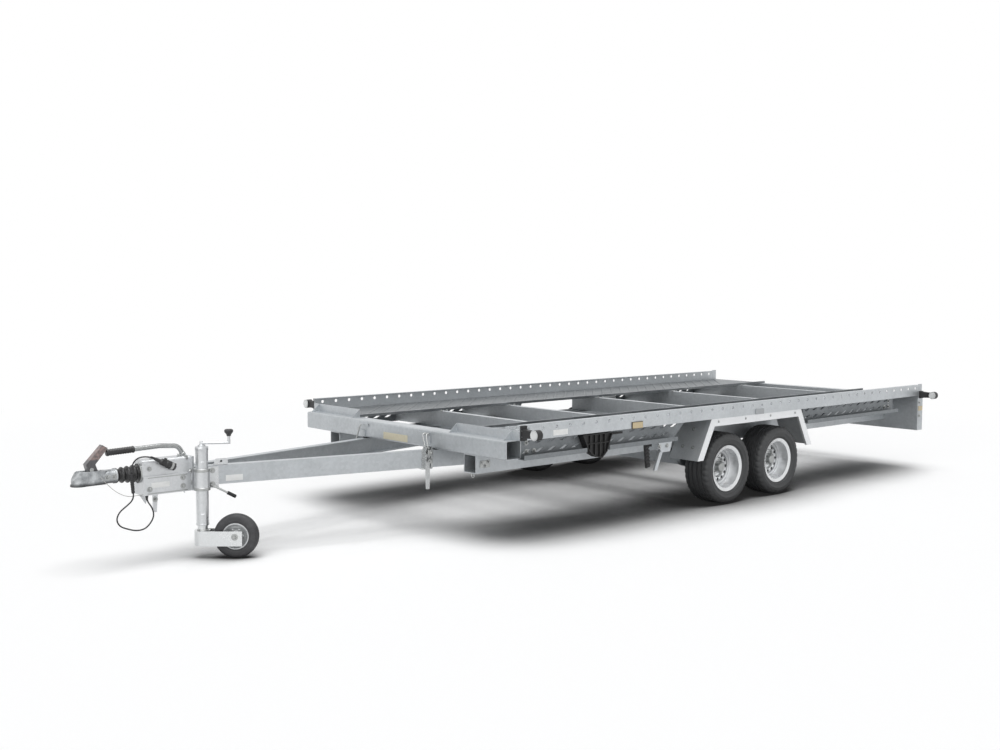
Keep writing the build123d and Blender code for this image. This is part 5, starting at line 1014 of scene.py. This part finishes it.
plug_relief = sleeve("plug_strain_relief", plug_front, -plug_way, 0.024, 0.0068, 0.0046, 5)
housing_relief = sleeve("housing_strain_relief", cable_points[-1], (0.0, 0.0, -1.0), 0.024, 0.0080, 0.0048, 5)
# the ribbed rubber sleeve that gathers the cable in front of the housing
sleeve_top = Vector((HOUSING_FRONT_X + 0.0605, 0.0600, 0.446))
sleeve_foot = Vector((HOUSING_FRONT_X + 0.0530, 0.0595, 0.352))
gathering = sleeve("cable_gathering_sleeve", sleeve_top, sleeve_foot - sleeve_top,
                   (sleeve_foot - sleeve_top).length,
                   0.0098, 0.0080, 8)
bm = bmesh.new()
holder_at = plug_front + plug_way * 0.086
turned(bm, ((0.0172, 0.0), (0.0195, 0.0), (0.0195, 0.012), (0.0172, 0.012)), holder_at, plug_way, 36,
       hollow=True)
plate(bm, oblong(0.026, 0.014), 0.0, 0.0025,
      seat(Vector((holder_at.x, 0.0462, holder_at.z - 0.004)), (0.0, 1.0, 0.0)), 0.0008)
add_piece("plug_holder", bm, [zinc_plate], "chassis")

# ================================================================ jockey wheel tube
# The jockey wheel's outer tube: galvanised steel with a pressed cap, a thrust collar and a
# crimped lower ring, the spindle's crank on top.
tube_steel = galvanised("galvanised steel, jockey tube", "DBDDDE", "BFC1C3", 0.30, 140.0, 0.85)
finish(["jockey_tube", "jockey_crank", "jockey_clamp"], tube_steel)
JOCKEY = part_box("jockey_tube")
JOCKEY_X = (JOCKEY[0].x + JOCKEY[1].x) / 2.0
JOCKEY_Y = (JOCKEY[0].y + JOCKEY[1].y) / 2.0
bm = bmesh.new()
axis_foot = Vector((JOCKEY_X, JOCKEY_Y, 0.0))
turned(bm, ((0.0302, 0.533), (0.0316, 0.535), (0.0316, 0.5510), (0.0300, 0.5535), (0.0190, 0.5545),
            (0.0180, 0.5600), (0.0120, 0.5620), (0.0110, 0.5650), (0.0075, 0.5652), (0.0075, 0.5522),
            (0.0302, 0.5522)), axis_foot, (0, 0, 1), 48, hollow=True)
for low, high, proud in ((0.1640, 0.1720, 0.0012), (0.2200, 0.2225, 0.0007), (0.4780, 0.4805, 0.0007)):
    turned(bm, ((0.0301, low), (0.0301 + proud, low + 0.0008), (0.0301 + proud, high - 0.0008),
                (0.0301, high)),
           axis_foot, (0, 0, 1), 48, hollow=True)
crank_way = Vector((math.cos(math.radians(148.0)), math.sin(math.radians(148.0)), 0.0))
crank_top = axis_foot + Vector((0.0, 0.0, 0.570))
turned(bm, ((0.0, -0.012), (0.0088, -0.012), (0.0094, -0.008), (0.0094, 0.006), (0.0080, 0.0088),
            (0.0, 0.0090)),
       crank_top, (0, 0, 1), 20)
add_piece("jockey_tube_collars", bm, [tube_steel], "jockey_stem")

# ================================================================ crank knob
# A black moulded knob that spins on the crank's upright end, with finger flutes and a
# recessed cap.
bm = bmesh.new()
knob_at = axis_foot + crank_way * 0.130 + Vector((0.0, 0.0, 0.602))
knob_rows = ((0.0, 0.0001), (0.0100, 0.0001), (0.0105, 0.003), (0.0125, 0.009), (0.0180, 0.0160),
             (0.0214, 0.0195),
             (0.0219, 0.0230), (0.0219, 0.0280), (0.0205, 0.0315), (0.0170, 0.0338), (0.0120, 0.0339),
             (0.0112, 0.0322), (0.0, 0.0320))
turned(bm, knob_rows, knob_at, (0, 0, 1), 40)
for vert in bm.verts:
    flat = Vector((vert.co.x - knob_at.x, vert.co.y - knob_at.y, 0.0))
    if flat.length > 0.0195:
        angle = math.atan2(flat.y, flat.x)
        vert.co -= flat.normalized() * 0.0011 * (0.5 + 0.5 * math.cos(10.0 * angle))
add_piece("crank_hand_knob", bm, [plug_plastic], "jockey_stem", smooth=45.0,
          stands_for=("crank_knob",))

# ================================================================ jockey clamp
# The clamp that grips the tube: a bored block welded to a plate on the left drawbar beam,
# with bolts, a split lug and a screw handle whose tip is dipped in black plastic.
bm = bmesh.new()
for back, z in ((0.086, 0.356), (0.086, 0.424), (0.060, 0.390)):
    hex_bolt(bm, *drawbar_face(JOCKEY_X - back + 0.018, z, clear=0.0064), 0.013)
screw_way = Vector((-1.5, 0.25, -0.88)).normalized()
screw_flat = Vector((screw_way.x, screw_way.y, 0.0)).normalized()
screw_foot = Vector((JOCKEY_X, JOCKEY_Y, 0.363)) + screw_flat * 0.038
turned(bm, ((0.0056, 0.006), (0.0105, 0.006), (0.0105, 0.016), (0.0090, 0.018), (0.0056, 0.018)), screw_foot,
       screw_way, 6, hollow=True)
for low in (0.3365, 0.4285):
    turned(bm, ((0.0382, low), (0.0396, low + 0.0015), (0.0396, low + 0.0135), (0.0382, low + 0.0150)),
           axis_foot,
           (0, 0, 1), 48, hollow=True)
add_piece("jockey_clamp_fittings", bm, [zinc_plate], "chassis")
material, tree, place = start_material("zinc plated screw with a black dipped tip")
along = put(tree, "ShaderNodeVectorMath", {"operation": "DOT_PRODUCT", 1: tuple(screw_way)}, {0: place})
dipped = put(tree, "ShaderNodeMath", {"operation": "GREATER_THAN", 1: screw_foot.dot(screw_way) + 0.1005},
             {0: along.outputs["Value"]})
cloud = put(tree, "ShaderNodeTexNoise", {"Scale": 90.0, "Detail": 4.0}, {"Vector": place})
zinc = put(tree, "ShaderNodeMix", {"data_type": "RGBA", 6: linear("A2A4A5"), 7: linear("CFD0CE")},
           {0: cloud.outputs[0]})
shade = put(tree, "ShaderNodeMix", {"data_type": "RGBA", 7: linear("1D1D1E")},
            {0: dipped.outputs[0], 6: zinc.outputs[2]})
metal = put(tree, "ShaderNodeMath", {"operation": "MULTIPLY_ADD", 1: -0.9, 2: 0.9}, {0: dipped.outputs[0]})
bump = put(tree, "ShaderNodeBump", {"Strength": 0.25, "Distance": 0.0002}, {"Height": cloud.outputs[0]})
end_material(tree, {"Roughness": 0.34},
             {"Base Color": shade.outputs[2], "Metallic": metal.outputs[0], "Normal": bump.outputs[0]})
finish(["clamp_handle"], material)

# ================================================================ jockey fork and wheel
# A bent flat-steel fork on the inner tube, zinc plated, and a solid grey-black rubber tyre
# on a two-piece pressed rim, held by an axle bolt and lock nut.
fork_steel = galvanised("zinc plated flat fork steel", "E2E4E4", "CCCECF", 0.30, 160.0, 0.8)
finish(["jockey_fork"], fork_steel)
FORK_WAY = Vector((math.cos(math.radians(138.0)), math.sin(math.radians(138.0)), 0.0))
FORK_SIDE = Vector((-FORK_WAY.y, FORK_WAY.x, 0.0))
jockey_axle = axis_foot + FORK_WAY * 0.165 + Vector((0.0, 0.0, 0.110))
bm = bmesh.new()
for side in (1, -1):
    hex_bolt(bm, jockey_axle + FORK_SIDE * side * 0.0412, FORK_SIDE * side, 0.016,
             stub=0.003 if side > 0 else 0.0)
    turned(bm, ((0.0082, 0.0), (0.0150, 0.0), (0.0150, 0.0046), (0.0082, 0.0046)),
           jockey_axle + FORK_SIDE * side * 0.0360, -FORK_SIDE * side, 28, hollow=True)
turned(bm, ((0.0252, 0.1390), (0.0290, 0.1390), (0.0270, 0.1420), (0.0252, 0.1450)), axis_foot, (0, 0, 1), 40,
       hollow=True)
add_piece("jockey_axle_bolt", bm, [zinc_plate], "jockey_swivel")

jockey_rubber = moulded("grey-black solid tyre rubber", "343436", "525254", 0.56, 600.0)
half_tyre = [(0.0661, 0.0240), (0.0672, 0.0262), (0.0720, 0.0272), (0.0780, 0.0294), (0.0800, 0.0300),
             (0.0815, 0.0292), (0.0880, 0.0297), (0.0960, 0.0288), (0.1020, 0.0262), (0.1062, 0.0212),
             (0.1085, 0.0150), (0.1097, 0.0104), (0.1070, 0.0090), (0.1070, 0.0064), (0.1099, 0.0050),
             (0.1100, 0.0015)]
half_rim = [(0.0081, 0.0354), (0.0160, 0.0354), (0.0170, 0.0340), (0.0176, 0.0200), (0.0200, 0.0150),
            (0.0260, 0.0125), (0.0380, 0.0135), (0.0440, 0.0160), (0.0500, 0.0165), (0.0550, 0.0195),
            (0.0580, 0.0245), (0.0600, 0.0262), (0.0635, 0.0266), (0.0655, 0.0255), (0.0659, 0.0235)]
rim_paint = galvanised("pale pressed jockey rim steel", "C9CBCC", "B0B2B3", 0.34, 160.0, 0.6)
for name, half, material, node, slot in (
    ("jockey_solid_tyre", half_tyre, jockey_rubber, "jockey_tyre", "tyre_rubber"),
    ("jockey_pressed_rim", half_rim, rim_paint, "jockey_rim", "silver_paint"),
):
    bm = bmesh.new()
    turned(bm, half + [(r, -reach) for r, reach in reversed(half)], jockey_axle, FORK_SIDE, 72, hollow=True)
    if name == "jockey_pressed_rim":
        # pressed stiffening dimples round the disc
        for count in range(6):
            angle = 2.0 * math.pi * count / 6
            spoke = FORK_WAY * math.cos(angle) + Vector((0.0, 0.0, math.sin(angle)))
            for side in (1, -1):
                turned(bm, ((0.0075, 0.0), (0.0062, 0.0026), (0.0, 0.0034)),
                       jockey_axle + spoke * 0.0325 + FORK_SIDE * side * 0.0128, FORK_SIDE * side, 16)
    add_piece(name, bm, [material], "jockey_wheel", smooth=32.0, stands_for=(node,))

# ================================================================ bed latches
# Zinc plated toggle latches at the front: the left one clamps the tilting bed's beam down
# with a hooked rod over a keeper, and a smaller hook does the same on the right.
latch_steel = galvanised("bright zinc plated latch steel", "CDCFCF", "AAACAD", 0.28, 150.0, 0.9)
finish(["latch"], latch_steel)
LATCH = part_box("latch")


def rod(bm, points, radius, steps=12, material=0):
    """A round bar bent through points, closed at both ends."""
    rings = []
    points = [Vector(p) for p in points]
    side = (points[1] - points[0]).orthogonal().normalized()
    for number, point in enumerate(points):
        before = points[max(number - 1, 0)]
        after = points[min(number + 1, len(points) - 1)]
        way = (after - before).normalized()
        side = (side - way * side.dot(way)).normalized()
        other = way.cross(side)
        rings.append([bm.verts.new(point + (side * math.cos(2.0 * math.pi * i / steps)
                                            + other * math.sin(2.0 * math.pi * i / steps)) * radius)
                      for i in range(steps)])
    for first, second in zip(rings, rings[1:]):
        for i in range(steps):
            j = (i + 1) % steps
            bm.faces.new((first[i], first[j], second[j], second[i])).material_index = material
    for ring in (rings[0], rings[-1]):
        bm.faces.new(ring).material_index = material


bm = bmesh.new()
latch_at = Vector((LATCH[0].x + 0.038, 0.339, 0.0))
for side in (-1, 1):
    shift = Vector((-0.0012, 0.0155 * side, 0.0))
    foot = latch_at + Vector((0.012, 0.018, 0.440)) + shift * 0.8
    rod(bm, (foot, foot + Vector((-0.004, -0.014, 0.040)), latch_at + Vector((-0.006, -0.030, 0.518)) + shift,
             latch_at + Vector((-0.011, -0.034, 0.530)) + shift,
             latch_at + Vector((-0.022, -0.035, 0.536)) + shift,
             latch_at + Vector((-0.029, -0.035, 0.530)) + shift), 0.0040)
rod(bm, (latch_at + Vector((-0.024, -0.060, 0.534)), latch_at + Vector((-0.024, -0.010, 0.534))), 0.0052)
hex_bolt(bm, latch_at + Vector((0.012, 0.049, 0.440)), drawbar_out, 0.015, stub=0.004)
hex_bolt(bm, latch_at + Vector((0.010, 0.046, 0.395)), drawbar_out, 0.013)
rod(bm, (latch_at + Vector((0.014, -0.012, 0.462)), latch_at + Vector((0.016, 0.044, 0.462))), 0.0046)
add_piece("latch_hook_left", bm, [zinc_plate], "chassis")
bm = bmesh.new()
right_at, right_out = drawbar_face(LATCH[0].x + 0.030, 0.0, -1, 0.0)
for low, high, wide, deep in ((0.362, 0.446, 0.030, 0.010), (0.392, 0.432, 0.018, 0.024)):
    plate(bm, oblong(wide, high - low), 0.0004, deep,
          seat(right_at + Vector((0, 0, (low + high) / 2.0)), right_out),
          0.0015)
hook_foot = right_at + right_out * 0.018 + Vector((0.0, 0.0, 0.425))
rod(bm, (hook_foot, hook_foot + Vector((-0.006, 0.010, 0.050)), hook_foot + Vector((-0.008, 0.026, 0.092)),
         hook_foot + Vector((-0.013, 0.030, 0.103)), hook_foot + Vector((-0.020, 0.030, 0.101))), 0.0045)
hex_bolt(bm, right_at + right_out * 0.0244 + Vector((0, 0, 0.412)), right_out, 0.012)
add_piece("latch_hook_right", bm, [zinc_plate], "chassis")

# ================================================================ pads and lashing hooks
# Black rubber pads on the drawbar take the bed's weight, and bent zinc plated hooks under
# the longitudinals' front ends hold lashing ropes.
finish(["pads"], moulded("black pad rubber", "1B1B1C", "333334", 0.6, 500.0))
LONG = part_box("longitudinal_left")
bm = bmesh.new()
for side in (1, -1):
    middle = Vector((LONG[1].x - 0.012, side * 0.653, LONG[0].z))
    hook = [(0.0, 0.0003), (0.0, -0.010)]
    hook += [(0.011 - 0.011 * math.cos(math.radians(a)), -0.013 - 0.011 * math.sin(math.radians(a)))
             for a in range(0, 226, 25)]
    rod(bm, [middle + Vector((0.0, side * y, z)) for y, z in hook], 0.0032)
    turned(bm, ((0.0, 0.0), (0.0085, 0.0), (0.0085, 0.0020), (0.0, 0.0020)), middle + Vector((0, 0, -0.0003)),
           (0, 0, -1), 16)
    flank = seat((LONG[1].x - 0.062, side * 0.7032, LONG[0].z + 0.048), (0.0, side, 0.0))
    plate(bm, oblong(0.070, 0.040), 0.0, 0.0030, flank, 0.0010)
    for along, up in ((-0.022, 0.008), (0.022, 0.008), (0.0, -0.010)):
        hex_bolt(bm, flank @ Vector((along, up, 0.0032)), (0.0, side, 0.0), 0.011)
add_piece("lashing_hooks", bm, [zinc_plate], "bed")

# ================================================================ drawbar bracket
# A small galvanised plate behind the jockey clamp, with a slotted hole for a safety chain,
# bolted to the top of the drawbar.
bm = bmesh.new()
bracket_at, bracket_out = drawbar_face(JOCKEY_X - 0.112, 0.4505)
outline = [(-0.034, 0.0), (0.034, 0.0), (0.034, 0.018), (0.026, 0.031), (-0.026, 0.031), (-0.034, 0.018)]
plate(bm, outline, -0.006, -0.001, seat(bracket_at, bracket_out), 0.0010)
plate(bm, oblong(0.068, 0.030), 0.0, 0.004, seat(bracket_at - bracket_out * 0.020 - Vector((0, 0, 0.0022)),
                                                  (0.0, 0.0, 1.0), bracket_out), 0.0010)
turned(bm, ((0.0058, 0.0), (0.0092, 0.0), (0.0092, 0.0016), (0.0058, 0.0016)),
       bracket_at + Vector((0.0, 0.0, 0.017)) - bracket_out * 0.0008, bracket_out, 24, hollow=True)
turned(bm, ((0.0, 0.0), (0.0057, 0.0), (0.0057, 0.0006), (0.0, 0.0006)),
       bracket_at + Vector((0.0, 0.0, 0.017)) - bracket_out * 0.0009, bracket_out, 24, material=1)
add_piece("drawbar_bracket", bm, [tube_steel, buffer_rubber], "chassis")

# ================================================================ blank plates
# Plain white and pale foil labels, with nothing printed on them, stuck flat on the rail,
# the drawbar, the housing and the front beam. The housing's is held by two rivets.
HOUSING_PLATE_X = HOUSING_FRONT_X - 0.085
foil, tree, place = start_material("white label foil, blank")
cloud = put(tree, "ShaderNodeTexNoise", {"Scale": 40.0, "Detail": 5.0}, {"Vector": place})
fine = put(tree, "ShaderNodeTexNoise", {"Scale": 500.0, "Detail": 2.0}, {"Vector": place})
shade = put(tree, "ShaderNodeMix", {"data_type": "RGBA", 6: linear("DADBDA"), 7: linear("F0F1F0")},
            {0: cloud.outputs[0]})
bump = put(tree, "ShaderNodeBump", {"Strength": 0.15, "Distance": 0.0002}, {"Height": fine.outputs[0]})
end_material(tree, {"Roughness": 0.35, "Coat Weight": 0.3},
             {"Base Color": shade.outputs[2], "Normal": bump.outputs[0]})
pale_foil, tree, place = start_material("pale yellow label foil, blank")
cloud = put(tree, "ShaderNodeTexNoise", {"Scale": 70.0, "Detail": 5.0}, {"Vector": place})
shade = put(tree, "ShaderNodeMix", {"data_type": "RGBA", 6: linear("C6BFA6"), 7: linear("DDD6BE")},
            {0: cloud.outputs[0]})
bump = put(tree, "ShaderNodeBump", {"Strength": 0.15, "Distance": 0.0002}, {"Height": cloud.outputs[0]})
end_material(tree, {"Roughness": 0.4}, {"Base Color": shade.outputs[2], "Normal": bump.outputs[0]})
bm = bmesh.new()
plate(bm, oblong(0.108, 0.030), 0.0, 0.0005, seat((0.7980, RAIL_Y + 0.0002, 0.576), (0, 1, 0)), 0.0002)
plate(bm, oblong(0.235, 0.040), 0.0, 0.0005, seat((1.1553, -0.010, 0.484), (1, 0, 0)), 0.0002, material=1)
add_piece("bed_labels", bm, [foil, pale_foil], "bed")
bm = bmesh.new()
label_at, label_out = drawbar_face(2.222, 0.380)
plate(bm, oblong(0.086, 0.030), 0.0, 0.0005, seat(label_at, label_out), 0.0002)
plate(bm, oblong(0.092, 0.026), 0.0, 0.0008, seat((HOUSING_PLATE_X, 0.0553, 0.379), (0, 1, 0)), 0.0003)
for along in (-0.040, 0.040):
    turned(bm, ((0.0022, 0.0), (0.0020, 0.0012), (0.0, 0.0016)), (HOUSING_PLATE_X + along, 0.0560, 0.379),
           (0, 1, 0), 12)
add_piece("drawbar_labels", bm, [foil], "chassis")

# ================================================================ pivot and beam fittings
# Zinc plated lock nuts on the ends of the bed's pivot pins, and bolts on washers through
# the flanges of the cross members. The backs are measured from the front beam's face.
PIVOT_X, PIVOT_Z, PIVOT_NUT_Y = -1.672, 0.400, 0.7035
BEAM_FACE_X = 1.155
CROSS_BACKS = (0.680, 1.255, 2.108, 2.925, 3.795)
CROSS_BOLT_Y, CROSS_TOP_Z = 0.430, 0.5542
bm = bmesh.new()
for side in (1, -1):
    hex_bolt(bm, (PIVOT_X, side * PIVOT_NUT_Y, PIVOT_Z), (0.0, side, 0.0), 0.030, stub=0.006)
    for back in CROSS_BACKS:
        for along in (-0.022, 0.022):
            at = (BEAM_FACE_X - back + along, side * CROSS_BOLT_Y, CROSS_TOP_Z)
            turned(bm, ((0.0, 0.0), (0.0098, 0.0), (0.0098, 0.0016), (0.0, 0.0016)), at, (0, 0, 1), 16)
            turned(bm, ((0.0064, 0.0016), (0.0064, 0.0066), (0.0054, 0.0078), (0.0, 0.0078)), at, (0, 0, 1),
                   6)
add_piece("bed_frame_bolts", bm, [zinc_plate], "bed")
